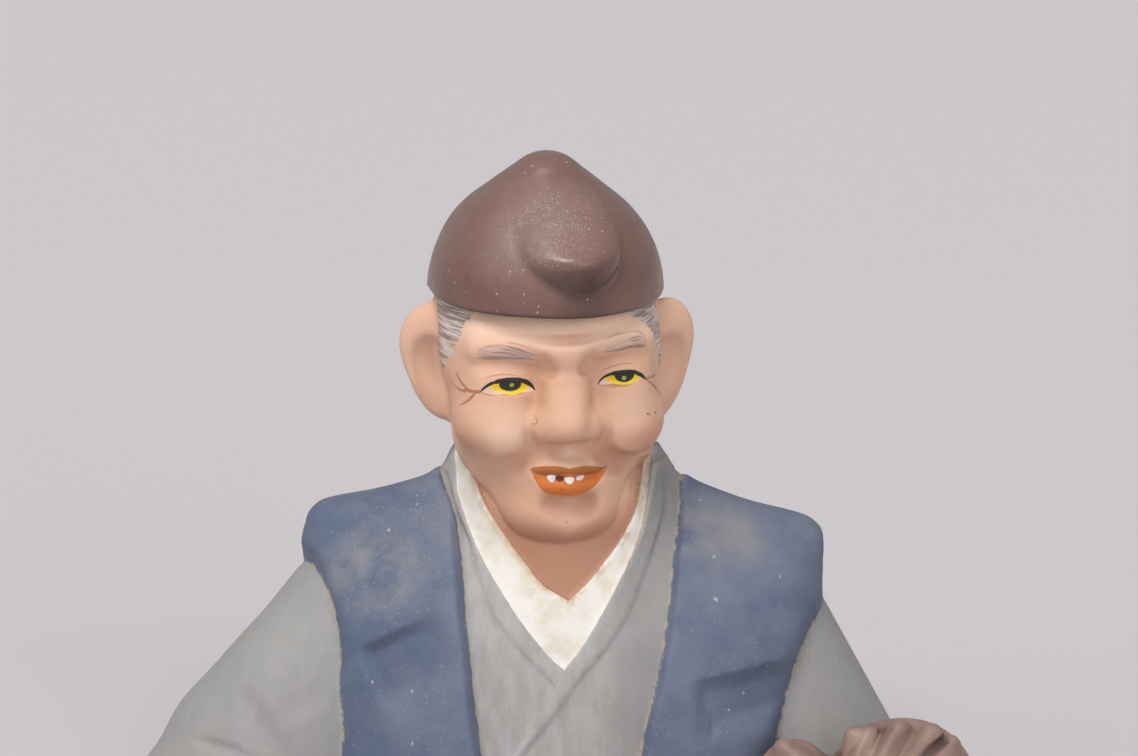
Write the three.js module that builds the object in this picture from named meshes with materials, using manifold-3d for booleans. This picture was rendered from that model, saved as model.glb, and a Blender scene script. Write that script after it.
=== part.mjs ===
// A painted clay bust of a smiling old man in a peaked cap, collared kimono and sleeveless vest,
// cut flat below, with a small piece of carved work standing before the sleeve on the right.
// The forms are laid out in shares of the bust's height, with +Z up and the face towards -Y.

import * as THREE from "three";
import { mergeVertices } from "three/addons/utils/BufferGeometryUtils.js";
import Module from "manifold-3d";

// Driving dimensions, in millimetres
const HEIGHT = 120;
const COLLAR_THICKNESS = 0.8;
const LAPEL_THICKNESS = 0.9;
const LAPEL_OVERLAP = 0.6;
const BAND_THICKNESS = 0.5;
const VEST_THICKNESS = 1.9;
const WORK_HEIGHT = 19;
const GAP = 0.6;

// The carving is written in parts of the height
const PARTS = 120;
const UNIT = HEIGHT / PARTS;

// Facets
const GRID = 1.25;
const FIGURE_FACETS = 8600;
const WORK_FACETS = 1000;

// Solids as distance functions, negative inside

function ball(at, radii) {
  const [cx, cy, cz] = at;
  const [rx, ry, rz] = radii;
  return (x, y, z) => {
    const qx = (x - cx) / rx;
    const qy = (y - cy) / ry;
    const qz = (z - cz) / rz;
    const near = Math.hypot(qx, qy, qz);
    const slope = Math.hypot(qx / rx, qy / ry, qz / rz);
    return near * (near - 1) / Math.max(slope, 1e-6);
  };
}

// Two balls and the cone that wraps them
function rod(a, b, ra, rb) {
  const [ax, ay, az] = a;
  const dx = b[0] - ax;
  const dy = b[1] - ay;
  const dz = b[2] - az;
  const long2 = dx * dx + dy * dy + dz * dz;
  const fall = ra - rb;
  const side2 = long2 - fall * fall;
  const bend = Math.sign(fall) * fall * fall;
  return (x, y, z) => {
    const px = x - ax;
    const py = y - ay;
    const pz = z - az;
    const along = px * dx + py * dy + pz * dz;
    const beyond = along - long2;
    const offX = px * long2 - dx * along;
    const offY = py * long2 - dy * along;
    const offZ = pz * long2 - dz * along;
    const off2 = offX * offX + offY * offY + offZ * offZ;
    const near2 = along * along * long2;
    const far2 = beyond * beyond * long2;
    const k = bend * off2;
    if (Math.sign(beyond) * side2 * far2 > k) return Math.sqrt(off2 + far2) / long2 - rb;
    if (Math.sign(along) * side2 * near2 < k) return Math.sqrt(off2 + near2) / long2 - ra;
    return (Math.sqrt(off2 * side2 / long2) + along * fall) / long2 - ra;
  };
}

// A tube through points
function strand(points, radii) {
  const rods = points.slice(1).map((point, i) => rod(points[i], point, radii[i], radii[i + 1]));
  return (x, y, z) => Math.min(...rods.map((solid) => solid(x, y, z)));
}

// Points on the bow from a through m to b
function bow(a, m, b, steps) {
  const control = m.map((v, i) => 2 * v - (a[i] + b[i]) / 2);
  const points = [];
  for (let i = 0; i <= steps; i += 1) {
    const t = i / steps;
    points.push(a.map((v, k) => (1 - t) ** 2 * v + 2 * t * (1 - t) * control[k] + t * t * b[k]));
  }
  return points;
}

// Blends of two distances over a width k
function blend(a, b, k) {
  const h = Math.max(k - Math.abs(a - b), 0) / k;
  return Math.min(a, b) - h * h * k / 4;
}

function join(k, ...solids) {
  return (x, y, z) => solids.reduce((d, solid) => blend(d, solid(x, y, z), k), 1e3);
}

function cut(k, solid, ...tools) {
  return (x, y, z) => tools.reduce((d, tool) => -blend(-d, tool(x, y, z), k), solid(x, y, z));
}

function both(a, b, k) {
  return -blend(-a, -b, k);
}

// A solid with finer forms about one place: each step adds or takes a tool, over a width
const ADD = 1;
const TAKE = -1;

function detailed(solid, at, reach, steps) {
  return (x, y, z) => {
    let d = solid(x, y, z);
    if (Math.hypot(x - at[0], y - at[1], z - at[2]) >= reach) return d;
    for (const [way, k, tool] of steps) {
      d = way * blend(way * d, tool(x, y, z), k);
    }
    return d;
  };
}

const sides = (make) => [make(-1), make(1)];

function ease(x, from, to) {
  const t = Math.min(Math.max((x - from) / (to - from), 0), 1);
  return t * t * (3 - 2 * t);
}

// A smooth curve through [t, value] knots, straight beyond its ends
function curve(...knots) {
  const rows = [...knots].sort((a, b) => a[0] - b[0]);
  const last = rows.length - 1;
  const slope = (i, j) => (rows[j][1] - rows[i][1]) / (rows[j][0] - rows[i][0]);
  const slopes = rows.map((row, i) => {
    if (i === 0) return slope(0, 1);
    if (i === last) return slope(last - 1, last);
    const before = row[0] - rows[i - 1][0];
    const after = rows[i + 1][0] - row[0];
    return (slope(i - 1, i) * after + slope(i, i + 1) * before) / (before + after);
  });
  return (t) => {
    if (t <= rows[0][0]) return rows[0][1] + (t - rows[0][0]) * slopes[0];
    if (t >= rows[last][0]) return rows[last][1] + (t - rows[last][0]) * slopes[last];
    let i = 0;
    while (t > rows[i + 1][0]) i += 1;
    const h = rows[i + 1][0] - rows[i][0];
    const s = (t - rows[i][0]) / h;
    return (1 + 2 * s) * (1 - s) ** 2 * rows[i][1] + s * (1 - s) ** 2 * h * slopes[i]
      + s * s * (3 - 2 * s) * rows[i + 1][1] + s * s * (s - 1) * h * slopes[i + 1];
  };
}

// Head, in its own axes: eyes at height 0, face towards -Y

const HEAD_AT = new THREE.Vector3(-2.8, -3, 82.1);
const HEAD_YAW = 10;
const HEAD_NOD = 10;
const HEAD_ROLL = -1.5;
const BRIM = 12.9;

const headTurn = new THREE.Matrix4().makeRotationFromEuler(
  new THREE.Euler(...[HEAD_NOD, HEAD_ROLL, HEAD_YAW].map(THREE.MathUtils.degToRad), "ZXY"),
);
const headFrame = headTurn.clone().setPosition(HEAD_AT).invert().elements;

function inHead(solid) {
  const m = headFrame;
  return (x, y, z) => solid(
    m[0] * x + m[4] * y + m[8] * z + m[12],
    m[1] * x + m[5] * y + m[9] * z + m[13],
    m[2] * x + m[6] * y + m[10] * z + m[14],
  );
}

function ear(side, out, rise, tall, lean) {
  const swing = THREE.MathUtils.degToRad(26);
  const plate = join(7, ball([0.4, 0, 2.6], [7.6, 3.4, 8.8]), ball([-1.8, 0.8, -6.4], [5, 3, 6]));
  const root = ball([-5, 1.2, -1], [3.6, 3.4, 7.6]);
  const bowl = ball([0.8, 4.5, 0.7], [5.6, 2.7, 5.6]);
  const trough = ball([-1.2, 4.9, -4], [4.4, 2.8, 6.4]);
  const whole = cut(3, cut(1, join(3.5, plate, root), bowl), trough);
  return (x, y, z) => {
    const across = side * x - out;
    const back = y - 3;
    const height = (z - rise) / tall;
    const outward = across * Math.cos(swing) + back * Math.sin(swing);
    const forward = across * Math.sin(swing) - back * Math.cos(swing);
    return whole(outward - lean * height, forward, height);
  };
}

// A wedge with a flat front that starts in a small step between the eyes
function makeNose() {
  const body = rod([0.4, -17.1, 1.2], [-0.1, -20.8, -6.6], 4.1, 4.5);
  const wings = [ball([-3.8, -19.3, -7.5], [2.2, 3.2, 2.5]), ball([4.5, -19, -8], [2.2, 3.2, 2.5])];
  const whole = join(2.4, body, ...wings);
  return (x, y, z) => {
    const frontPlane = 0.516 * (z - 1.6) - 0.856 * (y + 21);
    const rootPlane = 0.94 * (z - 1.7) + 0.34 * (y + 21);
    const basePlane = -0.95 * (z + 9.6) - 0.3 * (y + 23);
    const flat = both(whole(x, y, z), frontPlane, 1);
    return both(both(flat, rootPlane, 0.7), basePlane, 1.2);
  };
}

function makeHead() {
  const skull = ball([0, 3, 9.5], [20.2, 22, 22]);
  const face = ball([1, -2, -6.5], [17.4, 17.4, 20]);
  const temples = sides((s) => ball([11.4 * s, -5.4, 1], [7, 8.8, 9]));
  const jaws = [
    rod([-9, -4, -14], [-4.2, -11.8, -24.4], 8.4, 6.7), rod([10.8, -4.8, -15], [5, -11.8, -24.6], 8.8, 6.4),
  ];
  const chin = ball([1.2, -15.2, -26.8], [7.4, 5.4, 5]);
  const cheeks = [
    join(4, ball([-10.8, -12, -8.5], [8, 7.9, 6.8]), ball([-7.6, -14.2, -9.2], [5.6, 5.8, 5.8])),
    join(4, ball([12, -11.6, -9.2], [7.6, 7.7, 6.8]), ball([9.4, -13.6, -10], [5.4, 5.8, 5.8])),
  ];
  const brows = sides((s) => rod([3.5 * s, -15.8, 7.6], [12.6 * s, -12.8, 7], 3.2, 2.6));
  const bridge = ball([0.4, -15.4, 5], [5, 5.2, 6.4]);
  const hollows = [
    strand([[-4.6, -21.2, 2.2], [-5.2, -21, 0.2], [-6.2, -20.6, -2.2]], [1.3, 2.1, 1]),
    strand([[5.6, -21, 2.4], [6.2, -20.8, 0.4], [6.8, -20.2, -2]], [1.3, 1.9, 1]),
    strand([[-5.4, -20.9, 3.2], [-9, -19.9, 3.6], [-14, -17.8, 3.2]], [1.4, 1.1, 0.8]),
    strand([[6.2, -20.7, 3.4], [10, -19.5, 4.2], [15, -17.3, 4]], [1.4, 1.1, 0.8]),
  ];
  const lids = [ball([-10, -13.7, 0.8], [6, 4.5, 3.4]), ball([10.8, -13.5, 1.3], [5.8, 4.5, 3.4])];
  const bags = [ball([-10, -13.9, -3.4], [5.4, 4.1, 2.2]), ball([11, -13.8, -3], [5, 4.1, 2])];
  const muzzle = ball([0.8, -13.9, -17.2], [9.4, 7.4, 7.8]);
  const foldLeft = bow([-6.2, -21.8, -9.4], [-8, -20.6, -15.4], [-16.4, -16.4, -16.6], 6);
  const foldRight = bow([7.2, -21, -10], [9.6, -19.2, -16.2], [18.2, -14, -17], 6);
  const folds = [
    strand(foldLeft, [0.7, 1.3, 1.6, 1.6, 1.4, 1, 0.4]),
    strand(foldRight, [0.7, 1.2, 1.5, 1.6, 1.5, 1.2, 0.6]),
  ];
  const upperLip = [
    strand(bow([0.7, -20.6, -15.8], [-2.4, -20.2, -15.5], [-5.9, -18.2, -15.8], 4), [0.9, 1.1, 1, 0.7, 0.4]),
    strand(bow([0.7, -20.6, -15.8], [3.8, -19.8, -15.6], [7.3, -17.2, -16.4], 4), [0.9, 1.1, 1, 0.7, 0.4]),
  ];
  const mouth = strand([[-4.6, -21, -16.8], [0.8, -22.4, -17.2], [6, -20, -17.2]], [0.4, 0.9, 0.4]);
  const lowerLip = [
    strand(bow([0.6, -20.3, -19], [-2.8, -19.6, -18.4], [-5.6, -18, -16.4], 4), [1.5, 1.4, 1.1, 0.7, 0.4]),
    strand(bow([0.6, -20.3, -19], [4, -19.2, -18.6], [6.9, -17, -16.8], 4), [1.5, 1.4, 1.1, 0.7, 0.4]),
  ];
  const crease = strand([[-2.4, -21.3, -22.2], [0.8, -22.2, -22.6], [4, -21, -22.4]], [0.9, 1.6, 0.9]);
  const furrow = strand(
    bow([-11, -17.6, 9.8], [0, -20.5, 8.7], [10, -17.8, 9.6], 6), [0.1, 0.4, 0.6, 0.6, 0.6, 0.4, 0.1],
  );

  const step = (way, k, ...tools) => tools.map((tool) => [way, k, tool]);
  const steps = [
    ...step(ADD, 9, chin), ...step(ADD, 4, ...cheeks), ...step(ADD, 5, ...brows),
    ...step(ADD, 3, bridge), ...step(TAKE, 3.8, ...hollows), ...step(ADD, 2.2, ...lids),
    ...step(ADD, 4.6, ...bags), ...step(ADD, 4, muzzle), ...step(TAKE, 3, ...folds),
    ...step(ADD, 1.9, makeNose()), ...step(ADD, 2.2, ...upperLip), ...step(TAKE, 1.6, mouth),
    ...step(ADD, 2, ...lowerLip), ...step(TAKE, 3.4, crease), ...step(TAKE, 1.6, furrow),
  ];
  const plain = join(6, join(8, skull, face), ...temples, ...jaws);
  const ears = [ear(-1, 19.2, -0.9, 0.94, 0), ear(1, 21.2, -3, 1, 0.09)];
  return join(1.6, detailed(plain, [0, -16, -8], 29, steps), ...ears);
}

function makeCap() {
  const stretch = 1.12;
  const dome = rod([0, 0.5, 12], [0.2, 0, 29.9], 21.7, 7.9);
  const ridge = rod([0, -6, 27], [0.8, -14, 24.4], 8, 7.4);
  const tip = ball([2.1, -15, 24.6], [8.2, 11.2, 8.4]);
  const tipLean = 0.3;
  return (x, y, z) => {
    const flank = 0.37 * (z - 21.5) - 0.93 * (x + 20.1);
    const sideways = (x - 1.9) ** 2;
    const slope = 0.86 * (z - 23.8) - 0.51 * (y + 25) + 0.022 * sideways;
    const under = -0.9 * (y + 25) - 0.43 * (z - 23.8) + 0.05 * sideways;
    const whole = blend(ridge(x, y, z), tip(x, y - tipLean * (z - 24.6), z), 5);
    const lobe = both(both(whole, slope, 2.6), under, 2);
    const crown = blend(both(dome(x, (y - 2) / stretch + 0.5, z), flank, 3), lobe, 1);
    const brim = BRIM - 0.9 * (x / 21) ** 2 - 8 * ease(y, 2, 24);
    return both(crown, brim - z, 1);
  };
}

const neck = join(3, rod([-2.4, 2, 70], [0.2, 1, 44], 13, 15), rod([0.5, 0, 44], [1, -3, 36], 14.5, 18));

// Clothes: rows of the vest's half width, front and back at each height

const rows = [
  [-12, 48, -30, 29], [12, 48, -29.5, 29], [27, 48.6, -28.2, 28.5], [35, 48.6, -25.8, 27],
  [40, 48.4, -22.8, 25], [44.5, 48.5, -19, 22], [47.8, 48.2, -15.6, 18.5], [50.6, 47.2, -11.6, 15],
  [52.2, 45, -9, 12], [54.6, 35.2, -6.6, 9.2], [57, 27.6, -4.4, 7.4], [59.8, 20.2, -2.4, 5.4],
];
const halfWidth = curve(...rows.map((row) => [row[0], row[1]]));
const front = curve(...rows.map((row) => [row[0], row[2]]));
const rear = curve(...rows.map((row) => [row[0], row[3]]));
const middle = curve([44.5, 0], [50.6, 0.6], [54.6, 0.4], [57, 0.6], [59.8, 1.2], [62, 1.2]);
const SHOULDER_SLOPE = 0.034;
const SQUARENESS = 2.6;
const SHOULDER_TOP = 61;

function trunkShape(x, y, z) {
  const level = z + SHOULDER_SLOPE * x;
  const wide = Math.max(halfWidth(level), 3);
  const near = front(level);
  const far = rear(level);
  const deep = Math.max((far - near) / 2, 1.5);
  const across = Math.abs((x - middle(Math.max(level, 44.5))) / wide);
  const out = across ** SQUARENESS + Math.abs((y - (near + far) / 2) / deep) ** SQUARENESS;
  return out ** (1 / SQUARENESS) - 1;
}

function trunk(x, y, z) {
  const e = 0.25;
  const value = trunkShape(x, y, z);
  const slope = Math.hypot(
    trunkShape(x + e, y, z) - value,
    trunkShape(x, y + e, z) - value,
    trunkShape(x, y, z + e) - value,
  ) / e;
  return both(value / Math.max(slope, 0.012), z - SHOULDER_TOP, 1);
}

// Edges of the layers on the chest, as x at a height z, left and right of the viewer
const skinLeft = curve(
  [64.5, -18.4], [59.7, -15.9], [55, -13.7], [50.6, -10.5], [45.5, -6.5], [41.5, -2.7], [39.3, 1.3],
);
const skinRight = curve(
  [64.5, 15], [60.8, 14.6], [53.9, 13.2], [49.7, 10.8], [45.7, 7.7], [42.3, 4.6], [39.3, 1.3],
);
const lapelLeft = curve(
  [63, -20.6], [57.3, -19.3], [52.7, -17.6], [46.2, -14.5], [40.6, -10.8], [37.3, -8.5], [32.4, -4.6],
  [29.6, -2.1], [27.4, 0.4],
);
const lapelRight = curve(
  [63, 16.4], [56.6, 15.6], [49.6, 13.9], [42.5, 10.4], [37.2, 7.3], [30.6, 3], [27.4, 0.4], [21.3, -3],
  [13.1, -8.1], [0, -16],
);
const seamLeft = curve(
  [60, -21.6], [54, -19.4], [49.1, -16.9], [42.1, -14.6], [36.8, -12.2], [29.9, -6.4], [25.3, -1.8],
);
const seamRight = curve(
  [61, 18.6], [54, 18.6], [49, 17], [44.2, 15.1], [37.4, 12.1], [31.3, 7.9], [26.4, 3.6], [20, -1],
  [13.3, -6.4], [0, -14],
);
const vestLeft = curve(
  [59.5, -23.8], [54.2, -20.9], [48, -19.5], [41.3, -18.6], [38, -18.4], [28.7, -17.3], [19.9, -16.4],
  [12.4, -15.4], [0, -14],
);
const vestRight = curve(
  [59.5, 22.2], [56.4, 22.5], [50.8, 22], [46.4, 21.2], [35.2, 19.7], [24, 17.6], [18.1, 16], [12.5, 15],
  [0, 13],
);
const armLeft = curve(
  [52, -46.5], [50.6, -47], [48, -44.5], [45.3, -41.6], [40.8, -39.1], [32.2, -36.4], [19.7, -37], [0, -37],
);
const armRight = curve(
  [52, 46.5], [49.5, 45.5], [45, 44], [40.3, 42.7], [33.1, 39.6], [26.5, 37.2], [18, 35.5], [0, 33],
);

const COLLAR_TOP = 66;
const LAPEL_TOP = 64.6;
const BAND_DROP = 5;
const LEAN = 0.8;
const EDGE = 0.3;

// How far a place on the chest is inside each layer's edge
function layers(x, y, z) {
  const behind = ease(y, -7, 5);
  const before = LEAN * (1 - behind);
  const rim = (LAPEL_TOP - z) * behind;
  const bandRim = rim - BAND_DROP * behind;
  const inside = Math.max(skinLeft(z) - x, x - skinRight(z)) * before + (COLLAR_TOP - z) * behind;
  const over = (x - lapelRight(z)) * before + rim;
  const under = (lapelLeft(z) - x) * before + rim;
  const bandRight = (x - seamRight(z)) * before + bandRim;
  const bandLeft = (seamLeft(z) - x) * before + bandRim;
  return { inside, over, under, bandLeft, bandRight };
}

// How far the collar and kimono stand out from the chest at each place
function raised(x, y, z) {
  const at = layers(x, y, z);
  const within = (distance) => ease(distance, -EDGE, EDGE);
  const collar = -(COLLAR_THICKNESS + LAPEL_THICKNESS) + COLLAR_THICKNESS * within(at.inside);
  let left = collar + (-LAPEL_OVERLAP - collar) * within(at.under);
  left -= BAND_THICKNESS * within(at.bandLeft);
  const right = -BAND_THICKNESS * within(at.bandRight);
  const onTop = within(at.over);
  const fading = 1 - 0.6 * ease(y, -7, 5);
  return (left * (1 - onTop) + right * onTop) * fading / UNIT;
}

const collarStand = rod([0, 1.5, 38], [-1.3, 1, 65], 23, 18.6);
const SINK = 1.8;

// How far the chest lies under the vest: deep in front, nearly flush on the shoulders
function sunk(z) {
  return SINK * (1 - 0.85 * ease(z, 46, 56));
}

function chest(x, y, z) {
  return blend(trunk(x, y, z) + sunk(z), both(collarStand(x, y, z), z - COLLAR_TOP, 1.5), 6);
}

// The vest's side walls lean in towards the front and the back
function armWall(x, y, z) {
  const inward = 0.62 * Math.min(y - front(z), rear(z) - y);
  return 0.85 * Math.max(armLeft(z) - x - inward, x - armRight(z) - inward);
}

// A hollow with a crisp upper edge from start to end that dies out below it
function underFold(x, z, start, end, depth, reach) {
  const runX = end[0] - start[0];
  const runZ = end[1] - start[1];
  const long = Math.hypot(runX, runZ);
  const along = ((x - start[0]) * runX + (z - start[1]) * runZ) / long;
  const below = ((x - start[0]) * runZ - (z - start[1]) * runX) / long;
  const share = ease(below, -0.8, 2) * (1 - ease(below, 2.2, reach));
  return depth * share * ease(along, -1.5, 3) * (1 - ease(along, long - 5, long + 3));
}

// How deep the vest's folds are, pressed in from the front
function vestFolds(x, z) {
  const hollow = underFold(x, z, [-36.6, 30.6], [-22.5, 37.8], 2, 17);
  const sag = underFold(x, z, [24, 25.6], [43, 28.4], 1.4, 9);
  const slit = 1.1 * (1 - ease(Math.abs(x - 27.3), 0.2, 1.2)) * (1 - ease(Math.abs(z - 18.5), 4.5, 7.5));
  return Math.max(hollow, sag, slit);
}

function clothes(x, y, z) {
  const base = chest(x, y, z);
  const wall = armWall(x, y, z);
  const kimono = both(base - raised(x, y, z), wall + 3, 1);
  const behind = ease(y, -6, 4);
  const opening = Math.max(vestLeft(z) - x, x - vestRight(z));
  const loop = Math.hypot(x, y - 2) - 23;
  const onVest = opening * (1 - behind) + loop * behind;
  let vest = base - (VEST_THICKNESS / UNIT - SINK + sunk(z)) * ease(onVest, -0.8, 0.8);
  vest += vestFolds(x, z) * (1 - ease(y, -12, -6));
  vest = both(both(vest, -0.8 - onVest, 0.8), wall, 1.4);
  return Math.min(kimono, vest);
}

function makeSleeveLeft() {
  const arm = rod([-37, 0, 30], [-61, -4, -10], 16.6, 23);
  const elbow = join(6, ball([-50, -8, 14], [14, 13, 18]), ball([-56.2, -3, 11.5], [15, 13, 10]));
  const fold = strand([[-38, -23, 29], [-44.5, -24, 22.5], [-51, -24.5, 18.5]], [1.6, 2.2, 1]);
  const groove = strand(
    [[-58, -20.5, 21], [-54, -23.6, 15], [-50.5, -25.6, 10], [-49, -26, 2]], [1, 1.8, 2, 2],
  );
  const crease = strand([[-69, -15.8, 13], [-60, -21.6, 11.6], [-54, -24.6, 9.5]], [0.5, 0.8, 0.6]);
  return cut(1.2, cut(3, join(6, arm, elbow), fold, groove), crease);
}

function makeSleeveRight() {
  const arm = rod([37, 0, 30], [50, -4, -12], 13, 22);
  const fold = strand([[41, -16, 30], [45, -20.5, 20], [46, -24.5, 8]], [1, 2, 2]);
  return cut(3, arm, fold);
}

const head = inHead(makeHead());
const cap = inHead(makeCap());
const sleeveLeft = makeSleeveLeft();
const sleeveRight = makeSleeveRight();

function figure(x, y, z) {
  const skin = blend(head(x, y, z), neck(x, y, z), 3);
  return Math.min(skin, cap(x, y, z), clothes(x, y, z), sleeveLeft(x, y, z), sleeveRight(x, y, z));
}

// Carved work: a low mass of curling lumps in front of the sleeve

function makeWork() {
  const top = WORK_HEIGHT / UNIT;
  const mass = ball([60.5, -26.5, top - 14.5], [13, 9, 14]);
  const lobe = ball([41.8, -29, top - 14.5], [8, 6.5, 11]);
  const curls = [
    rod([52, -30, top - 5], [57, -33, top - 9], 2.6, 3.2),
    rod([58, -31, top - 3], [63, -34.5, top - 8], 2.4, 3.2),
    rod([66, -29.5, top - 4], [70, -32.5, top - 9], 2.6, 3),
    rod([40, -31, top - 5], [45, -34, top - 9], 2.2, 2.6),
  ];
  return join(1.6, join(4, mass, lobe), ...curls);
}

const workShape = makeWork();

function work(x, y, z) {
  return both(workShape(x, y, z), GAP / UNIT - figure(x, y, z), 0.6);
}

// Facets: the surface where a distance is zero, found in the tetrahedra of a grid

// Each cube of the grid is six tetrahedra about its diagonal, one for each order of the three axes
const AXIS_ORDERS = [
  [[0, 1, 2], 1], [[1, 2, 0], 1], [[2, 0, 1], 1], [[0, 2, 1], -1], [[2, 1, 0], -1], [[1, 0, 2], -1],
];
const BLOCK = 4;
const REACH = 1.6;

function march(solid, low, high, step) {
  const blocks = low.map((v, i) => Math.ceil((high[i] - v) / (step * BLOCK)));
  const count = blocks.map((v) => v * BLOCK + 1);
  const strides = [1, count[0], count[0] * count[1]];
  const values = new Float32Array(count[0] * count[1] * count[2]).fill(NaN);
  const place = (id) => [
    low[0] + step * (id % strides[1]),
    low[1] + step * (Math.floor(id / strides[1]) % count[1]),
    low[2] + step * Math.floor(id / strides[2]),
  ];
  const value = (id) => {
    if (Number.isNaN(values[id])) values[id] = solid(...place(id));
    return values[id];
  };

  const positions = [];
  const found = new Map();
  const crossing = (a, b) => {
    const key = Math.min(a, b) * 2 ** 24 + Math.abs(a - b);
    if (!found.has(key)) {
      const t = Math.min(Math.max(value(a) / (value(a) - value(b)), 0.04), 0.96);
      const from = place(a);
      const to = place(b);
      found.set(key, positions.length / 3);
      positions.push(...from.map((v, i) => v + t * (to[i] - v)));
    }
    return found.get(key);
  };

  const triangles = [];
  const tetrahedron = (corners, sign) => {
    const inner = [0, 1, 2, 3].filter((i) => value(corners[i]) < 0);
    const outer = [0, 1, 2, 3].filter((i) => value(corners[i]) >= 0);
    if (inner.length === 0 || outer.length === 0) return;
    const order = [...inner, ...outer];
    let swaps = 0;
    for (let i = 0; i < 4; i += 1) {
      for (let j = i + 1; j < 4; j += 1) {
        if (order[i] > order[j]) swaps += 1;
      }
    }
    const outward = (swaps % 2 === 0) === (sign > 0);
    const [a, b, c, d] = order.map((i) => corners[i]);
    let ring;
    if (inner.length === 1) ring = [crossing(a, b), crossing(a, c), crossing(a, d)];
    else if (inner.length === 3) ring = [crossing(d, a), crossing(d, b), crossing(d, c)];
    else ring = [crossing(a, c), crossing(a, d), crossing(b, d), crossing(b, c)];
    if (!outward) ring.reverse();
    for (let i = 2; i < ring.length; i += 1) triangles.push(ring[0], ring[i - 1], ring[i]);
  };

  const cube = (base) => {
    const isInside = value(base) < 0;
    let mixed = false;
    for (let corner = 1; corner < 8 && !mixed; corner += 1) {
      const across = (corner & 1) * strides[0] + ((corner >> 1) & 1) * strides[1];
      mixed = (value(base + across + (corner >> 2) * strides[2]) < 0) !== isInside;
    }
    if (!mixed) return;
    for (const [axes, sign] of AXIS_ORDERS) {
      const one = base + strides[axes[0]];
      const two = one + strides[axes[1]];
      tetrahedron([base, one, two, two + strides[axes[2]]], sign);
    }
  };

  const half = step * BLOCK / 2;
  for (let bz = 0; bz < blocks[2]; bz += 1) {
    for (let by = 0; by < blocks[1]; by += 1) {
      for (let bx = 0; bx < blocks[0]; bx += 1) {
        const corner = [bx, by, bz].map((v, i) => low[i] + v * step * BLOCK);
        if (Math.abs(solid(...corner.map((v) => v + half))) > half * Math.sqrt(3) * REACH) continue;
        for (let z = 0; z < BLOCK; z += 1) {
          for (let y = 0; y < BLOCK; y += 1) {
            for (let x = 0; x < BLOCK; x += 1) {
              cube(bx * BLOCK + x + (by * BLOCK + y) * strides[1] + (bz * BLOCK + z) * strides[2]);
            }
          }
        }
      }
    }
  }
  return { positions, triangles };
}

// Thinning: the edge whose loss moves the surface least is drawn to a point, again and again,
// unless a face about it would turn too far or grow too slender
const LEAST_TURN = 0.35;
const LEAST_FULLNESS = 0.06;

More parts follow.
